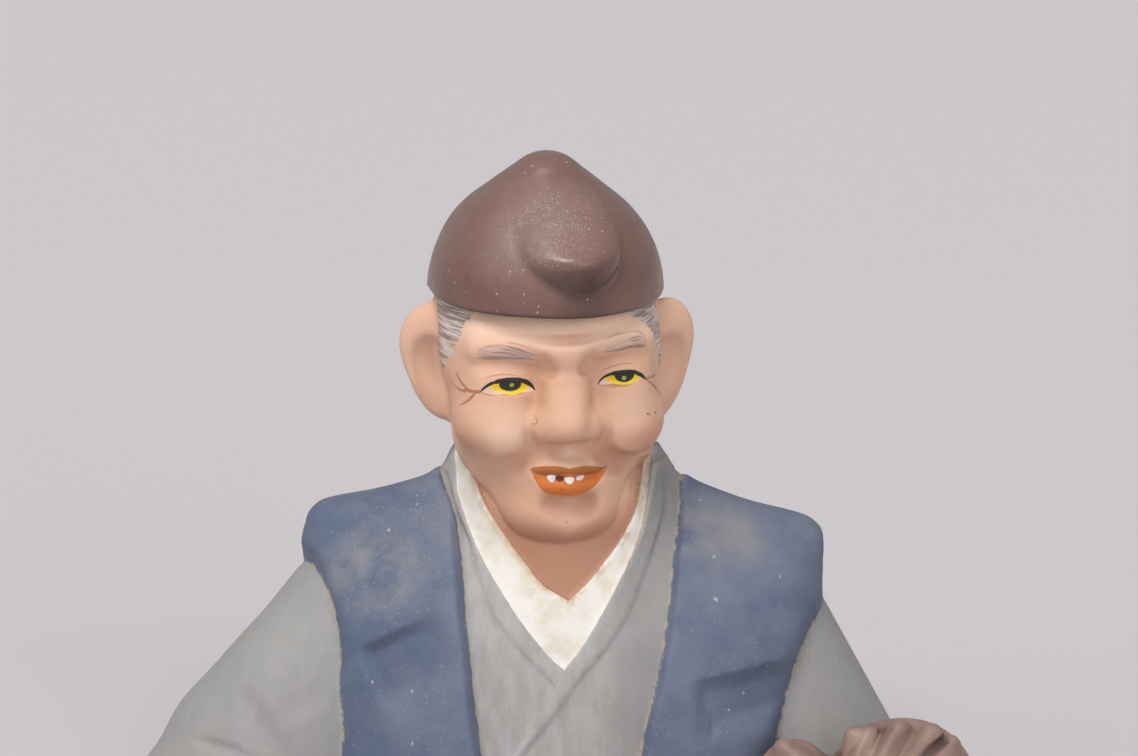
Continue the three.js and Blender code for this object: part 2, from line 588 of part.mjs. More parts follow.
function thin({ positions, triangles }, target, care) {
  const points = Float64Array.from(positions);
  const corners = Int32Array.from(triangles);
  const total = points.length / 3;
  const around = Array.from({ length: total }, () => new Set());
  const alive = new Uint8Array(corners.length / 3).fill(1);
  let left = alive.length;
  for (let f = 0; f < left; f += 1) {
    for (let k = 0; k < 3; k += 1) around[corners[3 * f + k]].add(f);
  }

  const normalOf = (f, moved = -1, to = null) => {
    const p = [0, 1, 2].map((k) => {
      const v = corners[3 * f + k];
      return v === moved ? to : [points[3 * v], points[3 * v + 1], points[3 * v + 2]];
    });
    const a = p[1].map((v, i) => v - p[0][i]);
    const b = p[2].map((v, i) => v - p[0][i]);
    const n = [a[1] * b[2] - a[2] * b[1], a[2] * b[0] - a[0] * b[2], a[0] * b[1] - a[1] * b[0]];
    const long = Math.max(Math.hypot(...a), Math.hypot(...b), Math.hypot(...a.map((v, i) => v - b[i])));
    return { n, size: Math.hypot(...n), long, p };
  };

  // Ten sums per point: the squared distance to the planes about it
  const sums = Array.from({ length: total }, () => new Float64Array(10));
  for (let f = 0; f < left; f += 1) {
    const { n, size, p } = normalOf(f);
    if (size < 1e-9) continue;
    const [a, b, c] = n.map((v) => v / size);
    const d = -(a * p[0][0] + b * p[0][1] + c * p[0][2]);
    const weight = size * care(...p[0]);
    const row = [a * a, a * b, a * c, a * d, b * b, b * c, b * d, c * c, c * d, d * d];
    for (let k = 0; k < 3; k += 1) {
      const sum = sums[corners[3 * f + k]];
      for (let i = 0; i < 10; i += 1) sum[i] += row[i] * weight;
    }
  }
  const errorAt = (q, x, y, z) => q[0] * x * x + 2 * q[1] * x * y + 2 * q[2] * x * z + 2 * q[3] * x
    + q[4] * y * y + 2 * q[5] * y * z + 2 * q[6] * y + q[7] * z * z + 2 * q[8] * z + q[9];

  const plan = (u, v) => {
    const q = sums[u].map((value, i) => value + sums[v][i]);
    const mid = [0, 1, 2].map((i) => (points[3 * u + i] + points[3 * v + i]) / 2);
    const span = Math.hypot(...[0, 1, 2].map((i) => points[3 * u + i] - points[3 * v + i]));
    // a slight pull to the middle keeps flat places solvable
    const pull = 1e-3 * (q[0] + q[4] + q[7]) + 1e-9;
    const [a, b, c, e, f, i] = [q[0] + pull, q[1], q[2], q[4] + pull, q[5], q[7] + pull];
    const r = [pull * mid[0] - q[3], pull * mid[1] - q[6], pull * mid[2] - q[8]];
    const det = a * (e * i - f * f) - b * (b * i - f * c) + c * (b * f - e * c);
    let best = mid;
    if (Math.abs(det) > 1e-12) {
      const solved = [
        (r[0] * (e * i - f * f) - b * (r[1] * i - f * r[2]) + c * (r[1] * f - e * r[2])) / det,
        (a * (r[1] * i - f * r[2]) - r[0] * (b * i - f * c) + c * (b * r[2] - r[1] * c)) / det,
        (a * (e * r[2] - r[1] * f) - b * (b * r[2] - r[1] * c) + r[0] * (b * f - e * c)) / det,
      ];
      if (Math.hypot(...solved.map((value, k) => value - mid[k])) < span * 1.5) best = solved;
    }
    return { cost: errorAt(q, ...best) + 1e-6 * span * span, best };
  };

  // A heap of edges by cost, with stale entries skipped by their stamps
  const stamps = new Int32Array(total);
  const heap = [];
  const lift = (i) => {
    while (i > 0) {
      const up = (i - 1) >> 1;
      if (heap[up].cost <= heap[i].cost) return;
      [heap[up], heap[i]] = [heap[i], heap[up]];
      i = up;
    }
  };
  const drop = () => {
    const top = heap[0];
    const end = heap.pop();
    if (heap.length > 0) {
      heap[0] = end;
      let i = 0;
      for (;;) {
        let low = 2 * i + 1;
        if (low >= heap.length) break;
        if (low + 1 < heap.length && heap[low + 1].cost < heap[low].cost) low += 1;
        if (heap[i].cost <= heap[low].cost) break;
        [heap[i], heap[low]] = [heap[low], heap[i]];
        i = low;
      }
    }
    return top;
  };
  const offer = (u, v) => {
    heap.push({ u, v, stamp: stamps[u] + stamps[v], ...plan(u, v) });
    lift(heap.length - 1);
  };
  const neighbours = (v) => {
    const ring = new Set();
    for (const f of around[v]) {
      for (let k = 0; k < 3; k += 1) ring.add(corners[3 * f + k]);
    }
    ring.delete(v);
    return ring;
  };

  for (let v = 0; v < total; v += 1) {
    for (const other of neighbours(v)) {
      if (other > v) offer(v, other);
    }
  }

  const keepsForm = (from, other, to) => {
    for (const f of around[from]) {
      if (around[other].has(f)) continue;
      const before = normalOf(f);
      const after = normalOf(f, from, to);
      const dot = before.n[0] * after.n[0] + before.n[1] * after.n[1] + before.n[2] * after.n[2];
      if (dot < LEAST_TURN * before.size * after.size) return false;
      const fullness = after.size / after.long ** 2;
      if (fullness < LEAST_FULLNESS && fullness < before.size / before.long ** 2) return false;
    }
    return true;
  };

  while (left > target && heap.length > 0) {
    const { u, v, stamp, best } = drop();
    if (around[u].size === 0 || around[v].size === 0 || stamp !== stamps[u] + stamps[v]) continue;
    const ring = neighbours(u);
    const shared = [...neighbours(v)].filter((w) => ring.has(w));
    if (shared.length !== 2 || !keepsForm(u, v, best) || !keepsForm(v, u, best)) continue;
    points.set(best, 3 * u);
    for (const f of around[v]) {
      if (around[u].has(f)) {
        alive[f] = 0;
        left -= 1;
        for (let k = 0; k < 3; k += 1) {
          if (corners[3 * f + k] !== v) around[corners[3 * f + k]].delete(f);
        }
      } else {
        for (let k = 0; k < 3; k += 1) {
          if (corners[3 * f + k] === v) corners[3 * f + k] = u;
        }
        around[u].add(f);
      }
    }
    around[v].clear();
    for (let i = 0; i < 10; i += 1) sums[u][i] += sums[v][i];
    const touched = neighbours(u);
    stamps[u] += 1;
    for (const w of touched) offer(u, w);
  }

  const kept = [...alive.keys()].filter((f) => alive[f]);
  const ids = new Map();
  const outPositions = [];
  const outTriangles = kept.flatMap((f) => [0, 1, 2].map((k) => {
    const v = corners[3 * f + k];
    if (!ids.has(v)) {
      ids.set(v, ids.size);
      outPositions.push(points[3 * v], points[3 * v + 1], points[3 * v + 2]);
    }
    return ids.get(v);
  }));
  return { positions: outPositions, triangles: outTriangles };
}

// Flat underside: everything below the ground plane is cut away

const wasm = await Module();
wasm.setup();

function toSolid(positions, triangles) {
  return new wasm.Manifold(new wasm.Mesh({
    numProp: 3,
    vertProperties: Float32Array.from(positions),
    triVerts: Uint32Array.from(triangles),
  }));
}

function belowGround() {
  const block = new THREE.BoxGeometry(4 * HEIGHT, 4 * HEIGHT, HEIGHT);
  block.translate(0, 0, -HEIGHT / 2);
  block.deleteAttribute("normal");
  block.deleteAttribute("uv");
  const merged = mergeVertices(block);
  return toSolid(merged.attributes.position.array, merged.index.array);
}

const ROOT_DEPTH = 4;

function carve(solid, [low, high], step, facets, care) {
  const rooted = (x, y, z) => Math.max(solid(x, y, z), -ROOT_DEPTH - z);
  const rough = march(rooted, low, high, step);
  const { positions, triangles } = thin(rough, facets, care);
  const body = toSolid(positions.map((v) => v * UNIT), triangles).subtract(belowGround());
  const mesh = body.getMesh();
  const geometry = new THREE.BufferGeometry();
  geometry.setAttribute("position", new THREE.BufferAttribute(mesh.vertProperties, 3));
  geometry.setIndex(new THREE.BufferAttribute(mesh.triVerts, 1));
  geometry.computeVertexNormals();
  return geometry;
}

function piece(name, geometry, color, roughness) {
  const material = new THREE.MeshStandardMaterial({ color, roughness, metalness: 0 });
  const mesh = new THREE.Mesh(geometry, material);
  mesh.name = name;
  return mesh;
}

// The face is kept finer than the clothes
const FACE_FOOT = 48;
const FACE_BACK = -4;
const FACE_CARE = 6;
const faceCare = (x, y, z) => (z > FACE_FOOT && y < FACE_BACK ? FACE_CARE : 1);
const evenCare = () => 1;

// The corners of the space that each piece is carved in
const FIGURE_SPACE = [[-90, -46, -6], [80, 42, 124]];
const WORK_SPACE = [[26, -46, -6], [80, -6, 28]];

const bust = new THREE.Group();
const figureForm = carve(figure, FIGURE_SPACE, GRID, FIGURE_FACETS, faceCare);
const workForm = carve(work, WORK_SPACE, GRID, WORK_FACETS, evenCare);
bust.add(piece("figure", figureForm, 0x8a8c8d, 0.75));
bust.add(piece("carved_work", workForm, 0x7a6860, 0.7));

export default bust;
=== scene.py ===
import math

import bpy
import numpy as np
from mathutils import Matrix, Vector


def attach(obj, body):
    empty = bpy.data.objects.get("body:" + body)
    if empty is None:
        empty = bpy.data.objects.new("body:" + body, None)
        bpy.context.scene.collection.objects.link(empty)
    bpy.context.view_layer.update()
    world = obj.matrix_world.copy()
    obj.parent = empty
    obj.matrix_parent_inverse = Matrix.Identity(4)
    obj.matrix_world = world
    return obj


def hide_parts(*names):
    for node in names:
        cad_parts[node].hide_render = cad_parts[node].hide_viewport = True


# A painted clay bust of a smiling old man in a peaked cap, collared kimono and sleeveless vest, cut
# flat below, with a small piece of carved work before one sleeve. The forms are carved in millimetres,
# with +Z up and the face towards -Y, as in the part's source, and the meshes are written in metres.

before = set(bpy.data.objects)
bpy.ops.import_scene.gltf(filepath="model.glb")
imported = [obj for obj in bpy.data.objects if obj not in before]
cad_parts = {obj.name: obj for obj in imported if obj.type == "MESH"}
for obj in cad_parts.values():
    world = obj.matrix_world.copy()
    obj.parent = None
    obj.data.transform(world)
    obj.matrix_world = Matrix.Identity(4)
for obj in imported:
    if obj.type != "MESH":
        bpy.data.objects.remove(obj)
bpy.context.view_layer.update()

MM = 0.001
FAR = 1e3


# Carving: solids as distance functions, negative inside

def ball(at, radii):
    (cx, cy, cz), (rx, ry, rz) = at, radii

    def solid(x, y, z):
        qx = (x - cx) / rx
        qy = (y - cy) / ry
        qz = (z - cz) / rz
        near = np.sqrt(qx * qx + qy * qy + qz * qz)
        slope = np.sqrt((qx / rx) ** 2 + (qy / ry) ** 2 + (qz / rz) ** 2)
        return near * (near - 1) / np.maximum(slope, 1e-6)

    return solid


def rod(a, b, ra, rb):
    """Two balls and the cone that wraps them."""
    run = [q - p for p, q in zip(a, b)]
    long = math.hypot(*run)
    dx, dy, dz = (v / long for v in run)
    slope = (ra - rb) / long
    tilt = slope / math.sqrt(1 - slope * slope)

    def solid(x, y, z):
        px = x - a[0]
        py = y - a[1]
        pz = z - a[2]
        along = px * dx + py * dy + pz * dz
        off = np.sqrt(np.maximum(px * px + py * py + pz * pz - along * along, 0))
        at = np.clip(along - off * tilt, 0, long)
        return np.hypot(along - at, off) - ra + slope * at

    return solid


def strand(points, radii):
    """A tube through points."""
    rods = [rod(*pair) for pair in zip(points, points[1:], radii, radii[1:])]

    def solid(x, y, z):
        nearest = rods[0](x, y, z)
        for one in rods[1:]:
            nearest = np.minimum(nearest, one(x, y, z))
        return nearest

    return solid


def bowed(a, m, b, radii):
    """A tube along the bow from a through m to b."""
    control = [2 * v - (p + q) / 2 for p, v, q in zip(a, m, b)]
    points = []
    for i in range(len(radii)):
        t = i / (len(radii) - 1)
        shares = [(1 - t) ** 2, 2 * t * (1 - t), t * t]
        points.append([shares[0] * p + shares[1] * c + shares[2] * q for p, c, q in zip(a, control, b)])
    return strand(points, radii)


def blend(a, b, k):
    """The nearer of two distances, with the meeting rounded over a width k."""
    h = np.maximum(k - np.abs(a - b), 0) / k
    return np.minimum(a, b) - h * h * k / 4


def both(a, b, k):
    return -blend(-a, -b, k)


def join(k, *solids):
    def solid(x, y, z):
        d = solids[0](x, y, z)
        for other in solids[1:]:
            d = blend(d, other(x, y, z), k)
        return d

    return solid


def cut(k, whole, *tools):
    def solid(x, y, z):
        d = whole(x, y, z)
        for tool in tools:
            d = -blend(-d, tool(x, y, z), k)
        return d

    return solid


def close_by(at, reach, x, y, z):
    return (x - at[0]) ** 2 + (y - at[1]) ** 2 + (z - at[2]) ** 2 < reach * reach


def near_to(at, reach, solid):
    """The same solid, reckoned only within reach of a place and far away everywhere else."""
    def nearby(x, y, z):
        close = close_by(at, reach, x, y, z)
        d = np.full(x.shape, FAR, np.float32)
        d[close] = solid(x[close], y[close], z[close])
        return d

    return nearby


ADD, TAKE = 1, -1


def detailed(solid, at, reach, *steps):
    """A solid with finer forms about one place: each step adds or takes tools, over a width."""
    def worked(x, y, z):
        d = solid(x, y, z)
        close = close_by(at, reach, x, y, z)
        here = [v[close] for v in (x, y, z)]
        near = d[close]
        for way, k, tools in steps:
            for tool in tools:
                near = way * blend(way * near, tool(*here), k)
        d[close] = near
        return d

    return worked


def ease(x, start, end):
    t = np.clip((x - start) / (end - start), 0, 1)
    return t * t * (3 - 2 * t)


def curve(*knots):
    """A smooth curve through (t, value) knots, straight beyond its ends."""
    at, value = np.array(sorted(knots), np.float32).T
    run = np.diff(at)
    rise = np.diff(value) / run
    inner = (rise[:-1] * run[1:] + rise[1:] * run[:-1]) / (run[1:] + run[:-1])
    slope = np.concatenate([rise[:1], inner, rise[-1:]])

    def height(t):
        i = np.clip(np.searchsorted(at, t) - 1, 0, len(run) - 1)
        h = run[i]
        s = (np.clip(t, at[0], at[-1]) - at[i]) / h
        r = 1 - s
        body = (1 + 2 * s) * r * r * value[i] + s * r * r * h * slope[i]
        body += s * s * (3 - 2 * s) * value[i + 1] - s * s * r * h * slope[i + 1]
        return body + np.minimum(t - at[0], 0) * slope[0] + np.maximum(t - at[-1], 0) * slope[-1]

    return height


def sides(make):
    return [make(-1), make(1)]


# The head, in its own axes: eyes at height 0, face towards -Y

HEAD_AT = Vector((-2.8, -3, 82.1))
HEAD_YAW = math.radians(10)
HEAD_NOD = math.radians(10)
HEAD_ROLL = math.radians(-1.5)
HEAD_TURN = Matrix.Rotation(HEAD_YAW, 3, "Z") @ Matrix.Rotation(HEAD_NOD, 3, "X")
HEAD_TURN = HEAD_TURN @ Matrix.Rotation(HEAD_ROLL, 3, "Y")
BRIM = 12.9


def to_head(x, y, z):
    px = x - HEAD_AT.x
    py = y - HEAD_AT.y
    pz = z - HEAD_AT.z
    return [px * HEAD_TURN[0][k] + py * HEAD_TURN[1][k] + pz * HEAD_TURN[2][k] for k in range(3)]


def in_head(solid):
    return lambda x, y, z: solid(*to_head(x, y, z))


def ear(side, out, rise, tall, lean):
    swing = math.radians(26)
    plate = join(7, ball([0.4, 0, 2.6], [7.6, 3.4, 8.8]), ball([-1.8, 0.8, -6.4], [5, 3, 6]))
    root = ball([-5, 1.2, -1], [3.6, 3.4, 7.6])
    bowl = ball([0.8, 4.5, 0.7], [5.6, 2.7, 5.6])
    trough = ball([-1.2, 4.9, -4], [4.4, 2.8, 6.4])
    whole = cut(3, cut(1, join(3.5, plate, root), bowl), trough)

    def solid(x, y, z):
        across = side * x - out
        back = y - 3
        height = (z - rise) / tall
        outward = across * math.cos(swing) + back * math.sin(swing)
        forward = across * math.sin(swing) - back * math.cos(swing)
        return whole(outward - lean * height, forward, height)

    return near_to([side * out, 3, rise], 17, solid)


EARS = [ear(-1, 19.2, -0.9, 0.94, 0), ear(1, 21.2, -3, 1, 0.09)]


def make_nose():
    """A wedge with a flat front that starts in a small step between the eyes."""
    body = rod([0.4, -17.1, 1.2], [-0.1, -20.8, -6.6], 4.1, 4.5)
    wings = [ball([-3.8, -19.3, -7.5], [2.2, 3.2, 2.5]), ball([4.5, -19, -8], [2.2, 3.2, 2.5])]
    whole = join(2.4, body, *wings)

    def solid(x, y, z):
        front_plane = 0.516 * (z - 1.6) - 0.856 * (y + 21)
        root_plane = 0.94 * (z - 1.7) + 0.34 * (y + 21)
        base_plane = -0.95 * (z + 9.6) - 0.3 * (y + 23)
        flat = both(whole(x, y, z), front_plane, 1)
        return both(both(flat, root_plane, 0.7), base_plane, 1.2)

    return solid


def make_head():
    skull = ball([0, 3, 9.5], [20.2, 22, 22])
    face = ball([1, -2, -6.5], [17.4, 17.4, 20])
    temples = sides(lambda s: ball([11.4 * s, -5.4, 1], [7, 8.8, 9]))
    jaw_left = rod([-9, -4, -14], [-4.2, -11.8, -24.4], 8.4, 6.7)
    jaw_right = rod([10.2, -4.8, -15], [4.4, -11.8, -24.6], 8.5, 6.2)
    chin = ball([1.2, -15.2, -26.8], [7.4, 5.4, 5])
    cheeks = [
        join(4, ball([-10.8, -12, -8.5], [8, 7.9, 6.8]), ball([-7.6, -14.2, -9.2], [5.6, 5.8, 5.8])),
        join(4, ball([12, -11.6, -9.2], [7.6, 7.7, 6.8]), ball([9.4, -13.6, -10], [5.4, 5.8, 5.8])),
    ]
    brows = sides(lambda s: rod([3.5 * s, -15.8, 7.6], [12.6 * s, -12.8, 7], 3.2, 2.6))
    bridge = ball([0.4, -15.4, 5], [5, 5.2, 6.4])
    hollows = [
        strand([[-4.6, -21.2, 2.2], [-5.2, -21, 0.2], [-6.2, -20.6, -2.2]], [1.3, 2.1, 1]),
        strand([[5.6, -21, 2.4], [6.2, -20.8, 0.4], [6.8, -20.2, -2]], [1.3, 1.9, 1]),
        strand([[-5.4, -20.9, 3.2], [-9, -19.9, 3.6], [-14, -17.8, 3.2]], [1.4, 1.1, 0.8]),
        strand([[6.2, -20.7, 3.4], [10, -19.5, 4.2], [15, -17.3, 4]], [1.4, 1.1, 0.8]),
    ]
    lids = [ball([-10, -13.7, 0.8], [6, 4.5, 3.4]), ball([10.8, -13.5, 1.3], [5.8, 4.5, 3.4])]
    bags = [ball([-10, -13.9, -3.4], [5.4, 4.1, 2.2]), ball([11, -13.8, -3], [5, 4.1, 2])]
    muzzle = ball([0.8, -13.9, -17.2], [9.4, 7.4, 7.8])
    folds = [
        bowed(
            [-6, -21.6, -9], [-8.2, -20.4, -14.6], [-17, -15.6, -15.4], [0.9, 1.5, 1.9, 1.9, 1.7, 1.3, 0.6],
        ),
        bowed(
            [7, -21, -9.6], [9.2, -19.4, -15.2], [17.8, -14.4, -16.4], [0.9, 1.4, 1.8, 1.9, 1.8, 1.4, 0.8],
        ),
    ]
    upper_lip = [
        bowed([0.7, -20.6, -15.8], [-2.4, -20.2, -15.5], [-5.9, -18.2, -15.8], [0.9, 1.1, 1, 0.7, 0.4]),
        bowed([0.7, -20.6, -15.8], [3.8, -19.8, -15.6], [7.3, -17.2, -16.4], [0.9, 1.1, 1, 0.7, 0.4]),
    ]
    mouth = strand([[-4.6, -21, -16.8], [0.8, -22.4, -17.2], [6, -20, -17.2]], [0.4, 0.9, 0.4])
    lower_lip = [
        bowed([0.6, -20.3, -19], [-2.8, -19.6, -18.4], [-5.6, -18, -16.4], [1.5, 1.4, 1.1, 0.7, 0.4]),
        bowed([0.6, -20.3, -19], [4, -19.2, -18.6], [6.9, -17, -16.8], [1.5, 1.4, 1.1, 0.7, 0.4]),
    ]
    crease = strand([[-2.4, -21.3, -22.2], [0.8, -22.2, -22.6], [4, -21, -22.4]], [0.9, 1.6, 0.9])
    furrow = bowed([-11, -17.6, 9.8], [0, -20.5, 8.7], [10, -17.8, 9.6], [0.1, 0.4, 0.6, 0.6, 0.6, 0.4, 0.1])

    head = join(8, skull, face)
    head = join(6, head, *temples, jaw_left, jaw_right)
    steps = [
        (ADD, 9, [chin]), (ADD, 4, cheeks), (ADD, 5, brows), (ADD, 3, [bridge]), (TAKE, 3.8, hollows),
        (ADD, 2.2, lids), (ADD, 4.6, bags), (ADD, 4, [muzzle]), (TAKE, 2.2, folds), (ADD, 1.9, [make_nose()]),
        (ADD, 2.2, upper_lip), (TAKE, 1.6, [mouth]), (ADD, 2, lower_lip), (TAKE, 3.4, [crease]),
        (TAKE, 1.6, [furrow]),
    ]
    head = detailed(head, [0, -16, -8], 29, *steps, *fine_face())
    head = join(1.6, head, *EARS)
    return near_to([0, 0, 0], 46, head)


def fine_face():
    """Brows, eye slits and teeth."""
    brow_left = strand(
        [[-14.6, -14.1, 5.4], [-11.6, -15.8, 6.2], [-8.8, -16.7, 6], [-5.4, -17.6, 5.3]], [1, 1.1, 0.9, 0.4],
    )
    brow_right = strand(
        [[6.8, -17.6, 5.8], [9.8, -16.7, 6.3], [12.8, -15.4, 6.6], [15.4, -13.6, 6.6]], [0.4, 0.8, 1, 1],
    )
    eye_left = ball([-10.1, -18.7, -0.4], [4.6, 0.6, 0.9])
    eye_right = ball([10.9, -18.5, 0.1], [4.2, 0.6, 0.9])
    teeth = [
        ball([-2.6, -20.5, -16.9], [0.9, 0.9, 1.1]), ball([0.4, -20.8, -17.2], [1, 0.9, 1]),
        ball([2.5, -20.4, -17], [0.8, 0.8, 0.8]),
    ]
    return [(ADD, 2.4, [brow_left, brow_right]), (TAKE, 0.6, [eye_left, eye_right]), (ADD, 0.2, teeth)]


def make_cap():
    stretch = 1.12
    dome = rod([0, 0.5, 12], [0.2, 0, 29.9], 21.7, 7.9)
    ridge = rod([0, -6, 27], [0.8, -14, 24.4], 8, 7.4)
    tip = ball([2.1, -15, 24.6], [8.2, 11.2, 8.4])
    tip_lean = 0.3

    def solid(x, y, z):
        crown = dome(x, (y - 2) / stretch + 0.5, z)
        flank = 0.37 * (z - 21.5) - 0.93 * (x + 20.1)
        lobe = blend(ridge(x, y, z), tip(x, y - tip_lean * (z - 24.6), z), 5)
        sideways = (x - 1.9) ** 2
        slope = 0.86 * (z - 23.8) - 0.51 * (y + 25) + 0.022 * sideways
        under = -0.9 * (y + 25) - 0.43 * (z - 23.8) + 0.05 * sideways
        lobe = both(both(lobe, slope, 2.6), under, 2)
        crown = blend(both(crown, flank, 3), lobe, 1)
        brim = BRIM - 0.9 * (x / 21) ** 2 - 8 * ease(y, 2, 24) + 0.45 * ease(-x, -6, 10)
        return both(crown, brim - z, 1)

    return near_to([0, 0, 18], 44, solid)


throat = rod([-2.4, 2, 70], [0.2, 1, 44], 13, 15)
neck_foot = rod([0.5, 0, 44], [1, -3, 36], 14.5, 18)
neck = near_to([0, 0, 56], 42, join(3, throat, neck_foot))


# The clothes: rows of the vest's half width, front and back at each height

ROWS = [
    [-12, 48, -30, 29], [12, 48, -29.5, 29], [27, 48.6, -28.2, 28.5], [35, 48.6, -25.8, 27],
    [40, 48.4, -22.8, 25], [44.5, 48.5, -19, 22], [47.8, 48.2, -15.6, 18.5], [50.6, 47.2, -11.6, 15],
    [52.2, 45, -9, 12], [54.6, 35.2, -6.6, 9.2], [57, 27.6, -4.4, 7.4], [59.8, 20.2, -2.4, 5.4],
]
half_width = curve(*[(row[0], row[1]) for row in ROWS])
front = curve(*[(row[0], row[2]) for row in ROWS])
rear = curve(*[(row[0], row[3]) for row in ROWS])
MIDDLE_FROM = 44.5
middle = curve((MIDDLE_FROM, 0), (50.6, 0.6), (54.6, 0.4), (57, 0.6), (59.8, 1.2), (62, 1.2))
SHOULDER_SLOPE = 0.034
SQUARENESS = 2.6
SHOULDER_TOP = 61


def trunk_shape(x, y, z):
    level = z + SHOULDER_SLOPE * x
    wide = np.maximum(half_width(level), 3)
    near = front(level)
    far = rear(level)
    deep = np.maximum((far - near) / 2, 1.5)
    across = np.abs((x - middle(np.maximum(level, MIDDLE_FROM))) / wide)
    out = across ** SQUARENESS + np.abs((y - (near + far) / 2) / deep) ** SQUARENESS
    return out ** (1 / SQUARENESS) - 1


def trunk(x, y, z):
    e = 0.25
    value = trunk_shape(x, y, z)
    slope = (trunk_shape(x + e, y, z) - value) ** 2
    slope += (trunk_shape(x, y + e, z) - value) ** 2
    slope += (trunk_shape(x, y, z + e) - value) ** 2
    return both(value / np.maximum(np.sqrt(slope) / e, 0.012), z - SHOULDER_TOP, 1)


# Edges of the layers on the chest, as x at a height z, left and right of the viewer
skin_left = curve(
    (64.5, -18.4), (59.7, -15.9), (55, -13.7), (50.6, -10.5), (45.5, -6.5), (41.5, -2.7), (39.3, 1.3),
)
skin_right = curve(
    (64.5, 15), (60.8, 14.6), (53.9, 13.2), (49.7, 10.8), (45.7, 7.7), (42.3, 4.6), (39.3, 1.3),
)
lapel_left = curve(
    (63, -20.6), (57.3, -19.3), (52.7, -17.6), (46.2, -14.5), (40.6, -10.8), (37.3, -8.5), (32.4, -4.6),
    (29.6, -2.1), (27.4, 0.4),
)
lapel_right = curve(
    (63, 16.4), (56.6, 15.6), (49.6, 13.9), (42.5, 10.4), (37.2, 7.3), (30.6, 3), (27.4, 0.4), (21.3, -3),
    (13.1, -8.1), (0, -16),
)
seam_left = curve(
    (60, -21.6), (54, -19.4), (49.1, -16.9), (42.1, -14.6), (36.8, -12.2), (29.9, -6.4), (25.3, -1.8),
)
seam_right = curve(
    (61, 18.6), (54, 18.6), (49, 17), (44.2, 15.1), (37.4, 12.1), (31.3, 7.9), (26.4, 3.6), (20, -1),
    (13.3, -6.4), (0, -14),
)
vest_left = curve(
    (59.5, -23.8), (54.2, -20.9), (48, -19.5), (41.3, -18.6), (38, -18.4), (28.7, -17.3), (19.9, -16.4),
    (12.4, -15.4), (0, -14),
)
vest_right = curve(
    (59.5, 22.2), (56.4, 22.5), (50.8, 22), (46.4, 21.2), (35.2, 19.7), (24, 17.6), (18.1, 16), (12.5, 15),
    (0, 13),
)
arm_left = curve(
    (52, -46.5), (50.6, -47), (48, -44.5), (45.3, -41.6), (40.8, -39.1), (32.2, -36.4), (19.7, -37), (0, -37),
)
arm_right = curve(
    (52, 46.5), (49.5, 45.5), (45, 44), (40.3, 42.7), (33.1, 39.6), (26.5, 37.2), (18, 35.5), (0, 33),
)

COLLAR_THICKNESS = 0.8
LAPEL_THICKNESS = 0.9
LAPEL_OVERLAP = 0.6
BAND_THICKNESS = 0.5
VEST_THICKNESS = 1.9
COLLAR_TOP = 66
LAPEL_TOP = 64.6
BAND_DROP = 5
LEAN = 0.8
SINK = 1.8
EDGE = 0.3


def layers(x, y, z):
    """How far a place on the chest is inside each layer's edge, in millimetres."""
    behind = ease(y, -7, 5)
    before = LEAN * (1 - behind)
    rim = (LAPEL_TOP - z) * behind
    band_rim = rim - BAND_DROP * behind
    inside = np.maximum(skin_left(z) - x, x - skin_right(z)) * before + (COLLAR_TOP - z) * behind
    over = (x - lapel_right(z)) * before + rim
    under = (lapel_left(z) - x) * before + rim
    band_right = (x - seam_right(z)) * before + band_rim
    band_left = (seam_left(z) - x) * before + band_rim
    return inside, over, under, band_left, band_right


def raised(x, y, z):
    """How far the collar and kimono stand out from the chest at each place."""
    inside, over, under, band_left, band_right = layers(x, y, z)
    collar = -(COLLAR_THICKNESS + LAPEL_THICKNESS) + COLLAR_THICKNESS * ease(inside, -EDGE, EDGE)
    left = collar + (-LAPEL_OVERLAP - collar) * ease(under, -EDGE, EDGE)
    left = left - BAND_THICKNESS * ease(band_left, -EDGE, EDGE)
    right = -BAND_THICKNESS * ease(band_right, -EDGE, EDGE)
    on_top = ease(over, -EDGE, EDGE)
    fading = 1 - 0.6 * ease(y, -7, 5)
    return (left * (1 - on_top) + right * on_top) * fading


collar_stand = rod([0, 1.5, 38], [-1.3, 1, 65], 23, 18.6)


def sunk(z):
    """How far the chest lies under the vest: deep in front, nearly flush on the shoulders."""
    return SINK * (1 - 0.85 * ease(z, 46, 56))


def chest(x, y, z):
    return blend(trunk(x, y, z) + sunk(z), both(collar_stand(x, y, z), z - COLLAR_TOP, 1.5), 6)


def arm_wall(x, y, z):
    """The vest's side walls lean in towards the front and the back."""
    inward = 0.4 * np.minimum(y - front(z), rear(z) - y)
    return 0.85 * np.maximum(arm_left(z) - x - inward, x - arm_right(z) - inward)


def under_fold(x, z, start, end, depth, reach):
    """A hollow with a crisp upper edge from start to end that dies out below it."""
    run_x = end[0] - start[0]
    run_z = end[1] - start[1]
    long = math.hypot(run_x, run_z)
    along = ((x - start[0]) * run_x + (z - start[1]) * run_z) / long
    below = ((x - start[0]) * run_z - (z - start[1]) * run_x) / long
    falling = np.clip((below + 0.3) / 5.5, 0, 1)
    share = falling * (2 - falling) * (1 - ease(below, 5, reach))
    return depth * share * ease(along, -1.5, 2) * (1 - ease(along, long - 6, long + 3))


def vest_folds(x, z):
    """How deep the vest's folds are, pressed in from the front."""
    hollow = under_fold(x, z, (-36.6, 30.6), (-22.5, 37.8), 2.4, 17)
    sag = under_fold(x, z, (24, 25.6), (43, 28.4), 2, 13)
    slit = 1.5 * (1 - ease(np.abs(x - 27.3), 0.1, 0.8)) * (1 - ease(np.abs(z - 19.5), 1.5, 5))
    return np.minimum(np.maximum(hollow, sag) + slit, 1.6)


